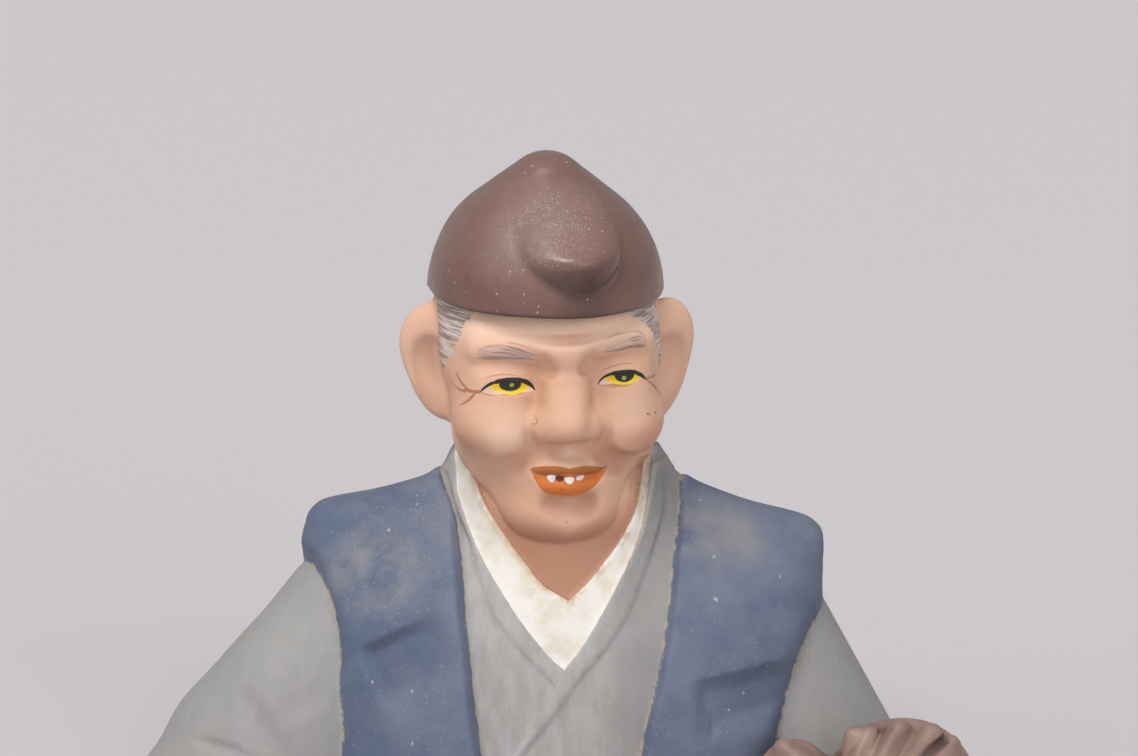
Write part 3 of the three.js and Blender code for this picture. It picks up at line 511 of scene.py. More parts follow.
def vest_and_kimono(x, y, z):
    base = chest(x, y, z)
    wall = arm_wall(x, y, z)
    kimono = both(base - raised(x, y, z), wall + 3, 1)
    behind = ease(y, -6, 4)
    opening = np.maximum(vest_left(z) - x, x - vest_right(z))
    loop = np.hypot(x, y - 2) - 23
    on_vest = opening * (1 - behind) + loop * behind
    vest = base - (VEST_THICKNESS - SINK + sunk(z)) * ease(on_vest, -0.8, 0.8)
    vest = vest + vest_folds(x, z) * (1 - ease(y, -12, -6))
    vest = both(both(vest, -0.8 - on_vest, 0.8), wall, 1.4)
    return vest, kimono


def make_sleeve_left():
    arm = rod([-37, 0, 30], [-61, -4, -10], 16.6, 23)
    elbow = join(6, ball([-50, -8, 14], [14, 13, 18]), ball([-56.2, -3, 11.5], [15, 13, 10]))
    fold = strand([[-38, -23, 29], [-44.5, -24, 22.5], [-51, -24.5, 18.5]], [1.6, 2.2, 1])
    groove = strand([[-58, -20.5, 21], [-54, -23.6, 15], [-50.5, -25.6, 10], [-49, -26, 2]], [1, 1.8, 2, 2])
    crease = strand([[-69, -15.8, 13], [-60, -21.6, 11.6], [-54, -24.6, 9.5]], [0.5, 0.8, 0.6])
    return near_to([-54, -3, 10], 62, cut(1.2, cut(3, join(6, arm, elbow), fold, groove), crease))


def make_sleeve_right():
    arm = rod([37, 0, 30], [50, -4, -12], 13, 22)
    fold = strand([[41, -16, 30], [45, -20.5, 20], [46, -24.5, 8]], [1, 2, 2])
    return near_to([44, -3, 10], 58, cut(3, arm, fold))


head = in_head(make_head())
cap = in_head(make_cap())
sleeve_left = make_sleeve_left()
sleeve_right = make_sleeve_right()
BASE_ROUNDING = 0.5


def paint_regions(x, y, z):
    """The distances to the skin, the cap, the vest and the kimono with its sleeves."""
    skin = blend(head(x, y, z), neck(x, y, z), 3)
    vest, kimono = vest_and_kimono(x, y, z)
    kimono = np.minimum(kimono, np.minimum(sleeve_left(x, y, z), sleeve_right(x, y, z)))
    return skin, cap(x, y, z), vest, kimono


def whole_figure(x, y, z):
    skin, hat, vest, kimono = paint_regions(x, y, z)
    return np.minimum(np.minimum(skin, hat), np.minimum(vest, kimono))


def figure(x, y, z):
    return both(whole_figure(x, y, z), -z, BASE_ROUNDING)


# Carved work: a low mass of curling lumps in front of the sleeve

WORK_HEIGHT = 19
GAP = 0.6


def make_work():
    top = WORK_HEIGHT
    mass = ball([60.5, -26.5, top - 14.5], [13, 9, 14])
    flank = ball([64.4, -27, top - 13.4], [10.2, 8.4, 11.4])
    lobe = ball([41.8, -29, top - 14.5], [8, 6.5, 11])
    corner = rod([52.6, -29.5, top - 3], [52.4, -30, top - 9], 2, 2.6)
    curls = [
        rod([55.2, -30, top - 2.6], [52.8, -34, top - 9], 2, 2.8),
        rod([60.4, -30.2, top - 1.7], [56.6, -34.6, top - 8.4], 2.2, 3),
        rod([66.2, -29.8, top - 2.7], [61.6, -35, top - 8.8], 2.4, 3.2),
        rod([69.6, -29, top - 4.8], [67.4, -32.8, top - 10.4], 2.2, 2.8),
        rod([40, -31, top - 5], [45, -34, top - 9], 2.2, 2.6),
    ]
    grooves = [
        bowed(
            [58, -31.6, top - 0.4], [54.6, -34.8, top - 4], [54.4, -37.4, top - 9.5],
            [0.4, 0.8, 1, 0.8, 0.5],
        ),
        bowed(
            [63.4, -31.8, top - 1], [59.4, -36.2, top - 4.6], [58.8, -38.6, top - 9.5],
            [0.3, 0.6, 0.9, 0.8, 0.5],
        ),
        bowed(
            [68.6, -30.8, top - 3], [64.6, -35.8, top - 6], [64.2, -37.8, top - 10.5],
            [0.3, 0.6, 0.8, 0.7, 0.4],
        ),
    ]
    return cut(1.5, join(0.9, join(4, mass, flank, lobe), corner, *curls), *grooves)


work_shape = make_work()


def carved_work(x, y, z):
    clear = both(work_shape(x, y, z), GAP - whole_figure(x, y, z), 0.6)
    return both(clear, -z, BASE_ROUNDING)


# Meshes: quads on the surface where a distance is zero, found in the cells of a grid of lines

COARSER = 3
BAND = 2.6


def whole_steps(lines):
    """The lines without those past the last coarse step."""
    return lines[:(len(lines) - 1) // COARSER * COARSER + 1].astype(np.float32)


def grid_lines(low, high, wide, fine, fine_from, fine_to):
    """Lines along one axis, closer together over a stretch of it."""
    before = np.arange(low, fine_from, wide)
    within = np.arange(fine_from, fine_to, fine)
    return whole_steps(np.concatenate([before, within, np.arange(fine_to, high, wide)]))


def at_places(solid, x, y, z, most=400000):
    return np.concatenate([solid(*(v[i:i + most] for v in (x, y, z))) for i in range(0, len(x), most)])


def at_points(solid, points):
    return at_places(solid, *points.T.astype(np.float32))


def grid_values(solid, lines):
    """Distances on the grid, exact near the surface and drawn between coarser ones elsewhere."""
    wide = np.meshgrid(*(line[::COARSER] for line in lines), indexing="ij")
    values = at_places(solid, *(v.ravel() for v in wide)).reshape(wide[0].shape)
    for axis, line in enumerate(lines):
        place = np.arange(len(line)) / COARSER
        first = np.minimum(place.astype(int), values.shape[axis] - 2)
        shape = [1, 1, 1]
        shape[axis] = -1
        share = (place - first).astype(np.float32).reshape(shape)
        values = np.take(values, first, axis) * (1 - share) + np.take(values, first + 1, axis) * share
    near = np.abs(values) < BAND
    i, j, k = np.nonzero(near)
    values[near] = at_places(solid, lines[0][i], lines[1][j], lines[2][k])
    return values


def surface_of(solid, lines):
    """One point in each cell that the surface crosses, and a quad round each crossed edge."""
    values = grid_values(solid, lines)
    inside = values < 0
    cells = tuple(n - 1 for n in values.shape)
    corners = [(a, b, c) for a in (0, 1) for b in (0, 1) for c in (0, 1)]

    filled = np.zeros(cells, np.int8)
    for corner in corners:
        filled += inside[tuple(slice(o, o + n) for o, n in zip(corner, cells))]
    mixed = np.nonzero((filled > 0) & (filled < 8))
    index = np.full(cells, -1)
    index[mixed] = np.arange(len(mixed[0]))
    total = np.zeros((3, len(mixed[0])))
    count = np.zeros(len(mixed[0]))
    for axis in range(3):
        for corner in (c for c in corners if c[axis] == 0):
            start = [m + o for m, o in zip(mixed, corner)]
            end = [s + (i == axis) for i, s in enumerate(start)]
            v0 = values[tuple(start)]
            v1 = values[tuple(end)]
            crossed = (v0 < 0) != (v1 < 0)
            share = np.where(crossed, v0 / np.where(crossed, v0 - v1, 1), 0)
            for i in range(3):
                total[i] += (start[i] + (share if i == axis else 0)) * crossed
            count += crossed
    points = np.stack([np.interp(total[i] / count, np.arange(len(lines[i])), lines[i]) for i in range(3)], 1)

    quads = []
    for axis in range(3):
        one, two = [i for i in range(3) if i != axis]
        before = inside[tuple(slice(0, -1) if i == axis else slice(None) for i in range(3))]
        after = inside[tuple(slice(1, None) if i == axis else slice(None) for i in range(3))]
        edges = np.argwhere(before != after)
        within = (edges[:, [one, two]] > 0).all(1)
        within &= (edges[:, one] < cells[one]) & (edges[:, two] < cells[two])
        edges = edges[within]
        ring = []
        for step_one, step_two in ((-1, -1), (0, -1), (0, 0), (-1, 0)):
            cell = edges.copy()
            cell[:, one] += step_one
            cell[:, two] += step_two
            ring.append(index[tuple(cell.T)])
        quad = np.stack(ring, 1)
        outward = inside[tuple(edges.T)] ^ (axis == 1)
        quad[~outward] = quad[~outward][:, ::-1]
        quads.append(quad)
    return points, np.concatenate(quads)


def slope_at(solid, points, e=0.06):
    """The way out of the solid at each point, as steep as its distance grows."""
    x, y, z = points.T.astype(np.float32)
    steps = [(e, 0, 0), (0, e, 0), (0, 0, e)]
    return np.stack([
        (at_places(solid, x + a, y + b, z + c) - at_places(solid, x - a, y - b, z - c)) / (2 * e)
        for a, b, c in steps
    ], 1)


def settle(solid, points, rounds):
    """Points drawn onto the surface."""
    for _ in range(rounds):
        value = at_points(solid, points)
        slope = slope_at(solid, points)
        pull = np.clip(value / np.maximum((slope ** 2).sum(1), 0.3), -0.4, 0.4)
        points = points - slope * pull[:, None]
    return points


def new_object(name, points, faces):
    mesh = bpy.data.meshes.new(name)
    mesh.from_pydata((points * MM).tolist(), [], faces.tolist())
    obj = bpy.data.objects.new(name, mesh)
    bpy.context.scene.collection.objects.link(obj)
    return obj


def points_of(mesh):
    points = np.empty(len(mesh.vertices) * 3, np.float32)
    mesh.vertices.foreach_get("co", points)
    return points.reshape(-1, 3) / MM


def thinned(obj, triangles, spare):
    """The object's mesh with fewer triangles, sparing the vertices whose share is high."""
    group = obj.vertex_groups.new(name="spare")
    for share in np.unique(spare):
        group.add(np.nonzero(spare == share)[0].tolist(), float(share), "REPLACE")
    modifier = obj.modifiers.new("thin", "DECIMATE")
    faces = 2 * len(obj.data.polygons)
    modifier.ratio = min(triangles / faces, 1)
    modifier.vertex_group = "spare"
    modifier.invert_vertex_group = True
    thin = bpy.data.meshes.new_from_object(obj.evaluated_get(bpy.context.evaluated_depsgraph_get()))
    obj.modifiers.clear()
    obj.vertex_groups.clear()
    obj.data = thin


def smooth(mesh):
    mesh.polygons.foreach_set("use_smooth", [True] * len(mesh.polygons))
    mesh.update()


def mark(mesh, name, values, kind="FLOAT", field="value"):
    attribute = mesh.attributes.new(name, kind, "POINT")
    attribute.data.foreach_set(field, values.astype(np.float32).ravel())


def mark_form(mesh, solid, points):
    """Marks hollows and broad valleys, which the paint darkens as painted shade, and proud places, where
    paint wears.
    """
    near = 1.3
    far = 3.2
    slope = slope_at(solid, points)
    out = slope / np.maximum(np.linalg.norm(slope, axis=1, keepdims=True), 1e-3)
    mark(mesh, "valley", 1 - at_points(solid, points + out * far) / far)
    mark(mesh, "hollow", 1 - at_points(solid, points + out * near) / near)
    mark(mesh, "proud", 1 + at_points(solid, points - out * near) / near)
    mark(mesh, "facing_up", out[:, 2])


hairline = curve(
    (-13, 16), (-11.6, 11.5), (-10.2, 6.7), (-8, 4.2), (-6.4, 1), (-3, -3), (0, -5), (13, -9), (24, -10),
)


def hair_cover(x, y, z):
    """How far a place on the head is above the hairline, which lies further forward on the right."""
    return z - hairline(np.maximum(y + 3.2 * ease(x, -8, 8), -13))


def off_ears(x, y, z):
    return np.minimum(EARS[0](x, y, z), EARS[1](x, y, z))


def mark_face(mesh, depth):
    """Gives the bare skin in front the second material, which has the painted features."""
    corners = np.empty(len(mesh.loops), np.int32)
    mesh.loops.foreach_get("vertex_index", corners)
    starts = np.empty(len(mesh.polygons), np.int32)
    mesh.polygons.foreach_get("loop_start", starts)
    on_face = np.maximum.reduceat(depth[corners], starts) < FACE_DEPTH
    mesh.polygons.foreach_set("material_index", on_face.astype(np.int32))


FACE_DEPTH = -6.5
FACE_FOOT = 48
FACE_BACK = -10
NECK_TOP = 57
BARE_HEIGHT = 0.7
BRIM_CHIP = np.array([-17.6, -11.4, 13.4])
CHIP_DEPTH = 1.4
CHIP_REACH = 2.2
FIGURE_TRIANGLES = 190000
MARK_REACH = 9
SKIN_MARGIN = 0.6


def make_figure():
    wide, fine = ((0.7, 0.4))
    lines = [
        grid_lines(-90, 80, wide, fine, -27, 25),
        grid_lines(-46, 42, wide, fine, -33, -12),
        grid_lines(-1.5, 124, wide, fine, 26, 94),
    ]
    points, quads = surface_of(figure, lines)
    obj = new_object("figure_painted", settle(figure, points, 1), quads)
    spare = np.where((points[:, 2] > FACE_FOOT) & (points[:, 1] < FACE_BACK), 1.0, 0.5)
    thinned(obj, FIGURE_TRIANGLES, spare)
    mesh = obj.data
    points = settle(figure, points_of(mesh).astype(np.float64), 2)
    mesh.vertices.foreach_set("co", (points * MM).astype(np.float32).ravel())
    smooth(mesh)

    x, y, z = points.T.astype(np.float32)
    skin, hat, vest, kimono = paint_regions(x, y, z)
    inside, over, under, *_ = layers(x, y, z)
    cloth = np.minimum(vest, kimono)
    head_places = to_head(x, y, z)
    to_chip = np.linalg.norm(np.stack(head_places, 1) - BRIM_CHIP, axis=1)
    in_cap = np.minimum(skin, cloth) - hat
    in_cloth = np.minimum(skin - cloth, inside)
    marks = {
        "cap": in_cap - CHIP_DEPTH * np.exp(-(to_chip / CHIP_REACH) ** 2), "cloth": in_cloth,
        "vest": kimono - vest, "white": -np.maximum(under, over), "inside": inside,
        "hair": hair_cover(*head_places), "off_ears": off_ears(*head_places), "neck": NECK_TOP - z,
        "bare": BARE_HEIGHT - z,
    }
    for name, values in marks.items():
        mark(mesh, name, np.clip(values, -MARK_REACH, MARK_REACH))
    mark(mesh, "head_place", np.stack(head_places, 1), "FLOAT_VECTOR", "vector")
    covered = np.maximum(in_cap, in_cloth) > -SKIN_MARGIN
    mark_face(mesh, np.where(covered, 0, head_places[1]))
    mark_form(mesh, figure, points)
    return obj


def make_carved_work():
    step = 0.4
    spans = [(26, 80), (-46, -6), (-1.5, 28)]
    lines = [whole_steps(np.arange(*span, step, dtype=np.float32)) for span in spans]
    points, quads = surface_of(carved_work, lines)
    points = settle(carved_work, points, 2)
    obj = new_object("carved_work_brown", points, quads)
    smooth(obj.data)
    mark_form(obj.data, carved_work, points)
    return obj


# Shader nodes

class Board:
    """A node tree that nodes are laid on and linked in plain calls."""

    def __init__(self, tree):
        self.tree = tree

    def node(self, kind, inputs=None, **settings):
        made = self.tree.nodes.new("ShaderNode" + kind)
        for name, value in settings.items():
            setattr(made, name, value)
        self.feed(made.inputs, inputs or {})
        return made

    def feed(self, sockets, values):
        for key, value in values.items():
            if isinstance(value, bpy.types.NodeSocket):
                self.tree.links.new(value, sockets[key])
            elif sockets[key].type == "RGBA":
                sockets[key].default_value = (*value, 1.0)
            else:
                sockets[key].default_value = value

    def math(self, operation, *values, clamp=False):
        return self.node("Math", dict(enumerate(values)), operation=operation, use_clamp=clamp).outputs[0]

    def times(self, a, b, clamp=False):
        return self.math("MULTIPLY", a, b, clamp=clamp)

    def vector(self, operation, *values):
        made = self.node("VectorMath", dict(enumerate(values)), operation=operation)
        return made.outputs["Value" if operation in ("DOT_PRODUCT", "LENGTH", "DISTANCE") else "Vector"]

    def mix(self, share, a, b):
        return self.node("Mix", {0: share, 6: a, 7: b}, data_type="RGBA").outputs[2]

    def blend(self, share, a, b):
        return self.node("Mix", {0: share, 2: a, 3: b}, data_type="FLOAT").outputs[0]

    def ramp(self, value, low, high, to_low=0.0, to_high=1.0):
        values = dict(enumerate((value, low, high, to_low, to_high)))
        return self.node("MapRange", values, interpolation_type="SMOOTHSTEP").outputs[0]

    def noise(self, vector, scale, detail=3.0, roughness=0.5):
        settings = {"Vector": vector, "Scale": scale, "Detail": detail, "Roughness": roughness}
        return self.node("TexNoise", settings).outputs["Fac"]

    def bump(self, strength, height):
        settings = {"Strength": strength, "Distance": 0.0002, "Height": height}
        return self.node("Bump", settings).outputs[0]

    def mark(self, name, *bounds):
        """A mark of the mesh, as a share between bounds where they are given."""
        value = self.node("Attribute", attribute_name=name).outputs["Fac"]
        return self.ramp(value, *bounds) if bounds else value

    def between(self, value, low, high, a, b):
        return self.mix(self.ramp(value, low, high), a, b)

    def near(self, vector, centre, reach, inner, share, least=0.0):
        """A soft round mask about one place."""
        return self.ramp(self.vector("DISTANCE", vector, centre), reach, inner, least, share)

    def object_place(self):
        return self.node("TexCoord").outputs["Object"]

    def head_place(self):
        return self.node("Attribute", attribute_name="head_place").outputs["Vector"]

    def place(self, vector, name):
        return self.node("SeparateXYZ", {0: vector}).outputs[name]

    def use(self, group, **inputs):
        made = self.node("Group", node_tree=group)
        self.feed(made.inputs, {key.replace("_", " "): value for key, value in inputs.items()})
        return made.outputs[0]

    def finish(self, colour, rough, **others):
        shader = self.tree.nodes["Principled BSDF"]
        self.feed(shader.inputs, {"Base Color": colour, "Roughness": rough, **others})


def new_material(name):
    material = bpy.data.materials.new(name)
    material.use_nodes = True
    return material, Board(material.node_tree)


def new_group(name, inputs, output):
    tree = bpy.data.node_groups.new(name, "ShaderNodeTree")
    for title, value in inputs.items():
        kind = "NodeSocketVector" if isinstance(value, tuple) else "NodeSocketFloat"
        socket = tree.interface.new_socket(title, in_out="INPUT", socket_type=kind)
        socket.default_value = value
    tree.interface.new_socket(output, in_out="OUTPUT", socket_type="NodeSocketFloat")
    board = Board(tree)
    start = tree.nodes.new("NodeGroupInput")
    end = tree.nodes.new("NodeGroupOutput")
    return board, start.outputs, lambda value: board.feed(end.inputs, {0: value})


def along_and_off(board, given):
    """The share of the way from the start to the end, and the distance off that way."""
    run = board.vector("SUBTRACT", given["End"], given["Start"])
    reach = board.vector("SUBTRACT", given["Place"], given["Start"])
    long = board.vector("LENGTH", run)
    along = board.math("DIVIDE", board.vector("DOT_PRODUCT", reach, run), board.times(long, long))
    upward = board.vector("CROSS_PRODUCT", run, (0, 1, 0))
    return along, board.math("DIVIDE", board.vector("DOT_PRODUCT", reach, upward), long)


def brush_stroke():
    """One stroke of the brush on a flat map, bowed to one side and drawn out to points."""
    board, given, put = new_group("Brush Stroke", {
        "Place": (0.0, 0.0, 0.0), "Start": (0.0, 0.0, 0.0), "End": (1.0, 0.0, 0.0), "Bend": 0.0, "Width": 0.4,
        "Start Taper": 0.3, "End Taper": 0.3, "Soft": 0.06,
    }, "Mask")
    along, off = along_and_off(board, given)
    left = board.math("SUBTRACT", 1.0, along)
    arc = board.times(board.times(along, left), board.times(given["Bend"], 4.0))
    away = board.math("ABSOLUTE", board.math("SUBTRACT", off, arc))
    rise = board.math("SQRT", board.math("DIVIDE", along, given["Start Taper"], clamp=True))
    fall = board.math("SQRT", board.math("DIVIDE", left, given["End Taper"], clamp=True))
    half = board.times(board.times(rise, fall), board.times(given["Width"], 0.5))
    outer = board.math("ADD", half, given["Soft"])
    inner = board.math("SUBTRACT", half, given["Soft"])
    body = board.ramp(away, outer, inner)
    put(board.times(body, board.math("GREATER_THAN", half, 1e-4)))
    return board.tree


def leaf_patch():
    """A patch between two bows with the same ends."""
    board, given, put = new_group("Leaf Patch", {
        "Place": (0, 0, 0), "Start": (0, 0, 0), "End": (1, 0, 0), "Rise": 1.0, "Drop": 1.0,
        "Fullness": 1.0, "Soft": 0.06,
    }, "Mask")
    along, off = along_and_off(board, given)
    hump = board.times(board.times(along, board.math("SUBTRACT", 1.0, along)), 4.0, clamp=True)
    hump = board.math("POWER", hump, given["Fullness"])
    over = board.math("SUBTRACT", board.times(hump, given["Rise"]), off)
    under = board.math("ADD", off, board.times(hump, given["Drop"]))
    inside = board.math("MINIMUM", over, under)
    body = board.ramp(inside, board.times(given["Soft"], -1.0), given["Soft"])
    put(board.times(body, board.math("GREATER_THAN", hump, 1e-4)))
    return board.tree


def paint_edge():
    """Where a layer of paint lies, with a hand-drawn edge."""
    board, given, put = new_group("Paint Edge", {
        "Vector": (0, 0, 0), "Distance": 0.0, "Wobble": 0.15, "Scale": 900.0, "Soft": 0.06,
    }, "Mask")
    drift = board.math("SUBTRACT", board.noise(given["Vector"], given["Scale"], 2.0), 0.5)
    moved = board.times(drift, board.times(given["Wobble"], 2.0))
    moved = board.math("ADD", given["Distance"], moved)
    put(board.ramp(moved, board.times(given["Soft"], -1.0), given["Soft"]))
    return board.tree


def specks():
    """Scattered small specks of dust, dirt or lost paint, in drifts."""
    board, given, put = new_group("Specks", {
        "Vector": (0, 0, 0), "Scale": 1500.0, "Size": 0.3, "Amount": 0.5, "Drift": 120.0,
    }, "Mask")
    shaken = board.node("TexNoise", {"Vector": given["Vector"], "Scale": given["Scale"], "Detail": 1.0})
    reach = board.math("DIVIDE", 0.7, given["Scale"])
    moved = board.vector("MULTIPLY_ADD", shaken.outputs["Color"], reach, given["Vector"])
    cells = board.node("TexVoronoi", {"Vector": moved, "Scale": given["Scale"]})
    chance = board.place(cells.outputs["Color"], "X")
    gather = board.noise(given["Vector"], given["Drift"], 3.0)
    few = board.times(board.ramp(gather, 0.35, 0.7), given["Amount"])
    chosen = board.math("LESS_THAN", chance, few)
    dot = board.ramp(cells.outputs["Distance"], given["Size"], board.times(given["Size"], 0.4))
    put(board.times(dot, chosen))
    return board.tree


def brushed():
    """Faint streaks left by the brush, along one axis of the given vector."""
    board, given, put = new_group("Brush Marks", {
        "Vector": (0, 0, 0), "Stretch": (1, 1, 1), "Scale": 300.0,
    }, "Value")
    drawn = board.node("Mapping", {"Vector": given["Vector"], "Scale": given["Stretch"]})
    put(board.noise(drawn.outputs[0], given["Scale"], 4.0, 0.6))
    return board.tree


STROKE = brush_stroke()
LEAF = leaf_patch()
PAINT_EDGE = paint_edge()
SPECKS = specks()
BRUSHED = brushed()


# Paint of the figure

BLUNT = (0.12, 0.12)
FROM_POINT = (0.9, 0.12)
TO_POINT = (0.12, 0.9)
DRAWN = (0.35, 0.9)


class Coat:
    """A colour, or a share between two, that paints are laid on one after another."""

    def __init__(self, board, where, *base):
        self.board = board
        self.where = where
        self.colour = base[0] if len(base) == 1 else board.between(*base)

    def lay(self, share, paint):
        self.colour = self.board.mix(share, self.colour, paint)

    def tint(self, name, low, high, share, paint):
        self.lay(self.board.ramp(self.board.mark(name), low, high, 0.0, share), paint)

    def spot(self, centre, reach, inner, share, paint):
        self.lay(self.board.near(self.where, centre, reach, inner, share), paint)

    def specks(self, scale, size, amount, drift, share, paint):
        mask = self.board.use(SPECKS, Vector=self.where, Scale=scale, Size=size, Amount=amount, Drift=drift)
        self.lay(self.board.times(mask, share), paint)


class Features(Coat):
    """Paint laid on the face, on a flat map of it seen from the front."""

    def lay_shape(self, group, ends, strength, paint, **inputs):
        start, end = (ends[0], 0, ends[1]), (ends[2], 0, ends[3])
        mask = self.board.use(group, Place=self.where, Start=start, End=end, **inputs)
        self.lay(self.board.times(mask, strength) if strength < 1 else mask, paint)

    def draw(self, paint, strokes, strength=1.0, soft=0.08):
        """Brush strokes of one paint: both ends, bend and width of each, and tapers where not DRAWN."""
        for *ends, bend, width, first, last in (row if len(row) > 6 else row + DRAWN for row in strokes):
            self.lay_shape(STROKE, ends, strength, paint, Bend=bend, Width=width, Start_Taper=first,
                           End_Taper=last, Soft=soft)

    def fill(self, paint, patches, strength=1.0, soft=0.08):
        """Leaf-shaped patches of one paint: both ends, rise, drop and fullness of each."""
        for *ends, rise, drop, full in patches:
            self.lay_shape(LEAF, ends, strength, paint, Rise=rise, Drop=drop, Fullness=full, Soft=soft)

    def dot(self, paint, spots, strength=1.0):
        """Small round spots: centre and radius of each."""
        patches = [(x - size, z, x + size, z, size, size, 0.5) for x, z, size in spots]
        self.fill(paint, patches, strength, soft=0.07)


BLACK = (0.012, 0.012, 0.011)
LINE_BROWN = (0.40, 0.155, 0.075)


def eyes_paint(face):
    openings = [(-14.3, -1.1, -5.5, -0.9, 1.9, 0.3, 0.6), (6.7, -0.35, 14.8, -0.1, 1.8, 0.3, 0.6)]
    yellows = [(-13.6, 0.2, -6, -0.3, 1, 1.35, 0.8), (7.5, 0.5, 14.5, 0.4, 0.8, 1.25, 0.8)]
    irises = [(-11.7, 0.5, -7.7, 0.35, 1, 1.4, 0.42), (9.3, 1.2, 13, 1.1, 0.5, 1.6, 0.45)]
    lashes = [
        (-15.1, -1.45, -12.4, 0.85, 0.3, 0.6, *FROM_POINT), (-12.8, 0.68, -7.1, 0.98, 0.42, 0.8, *BLUNT),
        (-7.8, 1.1, -5.2, -0.95, 0.3, 0.9, 0.12, 0.6), (6.1, -0.6, 8.8, 1.45, 0.3, 0.6, *FROM_POINT),
        (8.3, 1.28, 13.8, 1.15, 0.4, 0.8, *BLUNT), (13.2, 1.25, 15.4, -0.6, 0.22, 0.75, 0.12, 0.7),
    ]
    lid_lines = [(-14.1, 1.35, -8, 1.75, 0.6, 0.28), (6.7, 1.75, 13.1, 2.8, 0.62, 0.36)]
    lower_lines = [(6.3, -0.55, 9.7, -1.05, -0.1, 0.26), (-15, -1.35, -11.9, -1.6, -0.05, 0.26)]
    crows_feet = [
        (-14.8, -1.15, -17.1, -1.65, 0, 0.6, *BLUNT), (-16.6, -1.7, -18.3, 0.7, 0.35, 0.52, *TO_POINT),
        (-17, -1.65, -19.1, -2.1, 0.45, 0.5, *TO_POINT), (-15.6, -1.35, -18.1, -4.7, 0.1, 0.44),
        (15, -0.15, 18, -1, 0.1, 0.44), (16.5, -0.65, 17.9, -0.1, 0, 0.34),
        (15.2, -0.25, 18.7, -4.9, 0.3, 0.42),
    ]
    face.fill((0.74, 0.52, 0.41), openings)
    face.fill((0.88, 0.62, 0.01), yellows)
    face.fill((0.022, 0.022, 0.024), irises, soft=0.12)
    face.dot((0.40, 0.52, 0.04), [(-9.4, 0.2, 0.42), (11.1, 0.4, 0.42)])
    face.draw(BLACK, lashes)
    face.draw(LINE_BROWN, lid_lines + lower_lines, strength=0.7, soft=0.12)
    crack = [(-5.9, -4.7, -6.2, -6.8, 0.7, 0.2), (-6.2, -6.8, -5.4, -6.2, 0.2, 0.18)]
    face.draw((0.25, 0.12, 0.07), crack, strength=0.7)
    face.draw(LINE_BROWN, crows_feet, strength=0.9, soft=0.1)


def mouth_paint(face):
    lower = [(-6.2, -15.6, 8, -16.3, 0.1, 4.6, 0.95), (-6.1, -15.7, 2.5, -17.5, 0.1, 3.8, 0.94)]
    upper = [(-6.3, -15.5, 0.9, -15.2, 0.85, 1.15, 0.7), (-0.2, -15.3, 7, -16.1, 0.95, 0.9, 0.7)]
    corner = [(6.2, -15.95, 8.1, -16.1, 0, 0.4, *TO_POINT)]
    seam = [(-6.1, -15.75, 6.8, -16.5, -0.6, 0.6)]
    pale_rim = [(-6.2, -16.4, -2.3, -20.6, -0.55, 0.3), (4.2, -19.95, 8.2, -16.7, -0.3, 0.34)]
    teeth = [
        (-3.45, -16.6, -1.85, -16.55, 0.3, 1.05, 0.7), (-0.35, -16.95, 1.45, -17, 0.35, 0.8, 0.6),
        (1.75, -17.05, 3.45, -16.95, 0.3, 0.5, 0.6),
    ]
    face.draw((0.85, 0.58, 0.42), pale_rim, strength=0.6, soft=0.12)
    face.fill((0.66, 0.185, 0.032), lower)
    face.fill((0.44, 0.145, 0.028), upper, soft=0.12)
    face.draw((0.30, 0.075, 0.02), corner)
    face.draw((0.20, 0.05, 0.015), seam, strength=0.5, soft=0.3)
    face.fill((0.12, 0.015, 0.01), [(-2, -17, -0.4, -17, 0.55, 0.5, 0.6)], soft=0.16)
    face.fill((0.86, 0.82, 0.80), teeth, soft=0.1)


def brow_paint(face):
    bodies = [
        (-15.5, 5.4, -7, 5.7, 2, 0.7, 0.45), (-12.5, 6.6, -5.2, 5.3, 0.9, 1.2, 0.7),
        (7.4, 6.3, 15.6, 6.3, 1.5, 0.6, 0.55),
    ]
    dark = [
        (-15.5, 4.65, -7.2, 5.3, 0.05, 0.5), (-8.8, 5.2, -4.8, 4.8, 0.18, 0.32),
        (6.8, 5.85, 12.6, 6.1, -0.25, 0.5, 0.7, 0.2), (11.6, 6, 15.6, 5.4, 0.15, 0.75, 0.5, 0.3),
        (12, 7.3, 14.9, 7.3, 0.35, 0.42),
    ]
    mauve = [
        (-12.8, 6.1, -7.9, 5.5, 0.4, 0.36), (-11.2, 7, -6.2, 5.6, 0.15, 0.42),
        (-10.4, 7.5, -5.1, 5.8, 0.15, 0.5), (-14.4, 5.2, -10.2, 5.3, 0.1, 0.3),
        (12.4, 7, 14.7, 6.9, 0.1, 0.4),
    ]
    outline = [
        (-15.2, 6.2, -9.6, 7.3, 0.7, 0.3), (-10.3, 8.2, -5.2, 6.9, 0.2, 0.28),
        (7.3, 8.1, 13, 8.7, 0.3, 0.28), (12.5, 8.75, 15.6, 5.8, 0.9, 0.32),
    ]
    pale = [
        (-14.4, 6.6, -11, 6.4, 0.25, 0.4), (-13.8, 5.35, -9.4, 5.9, 0.2, 0.24),
        (-10, 6.6, -6.8, 5.8, 0.1, 0.2), (8, 6.8, 12.3, 7.7, 0.1, 0.3), (8.8, 6.3, 14.4, 6.9, 0.12, 0.3),
        (13.9, 6.6, 15.2, 7.3, 0, 0.26),
    ]
    face.fill((0.56, 0.38, 0.31), bodies, strength=0.7, soft=0.45)
    face.draw((0.42, 0.21, 0.13), outline, strength=0.6, soft=0.14)
    # The dark strokes lie mostly along the underside of each brow, as painted shadow under its raised form.
    face.draw((0.22, 0.16, 0.125), dark, strength=0.7, soft=0.2)
    face.draw((0.29, 0.195, 0.165), mauve, strength=0.8, soft=0.1)
    face.draw((0.74, 0.57, 0.48), pale, strength=0.6, soft=0.1)


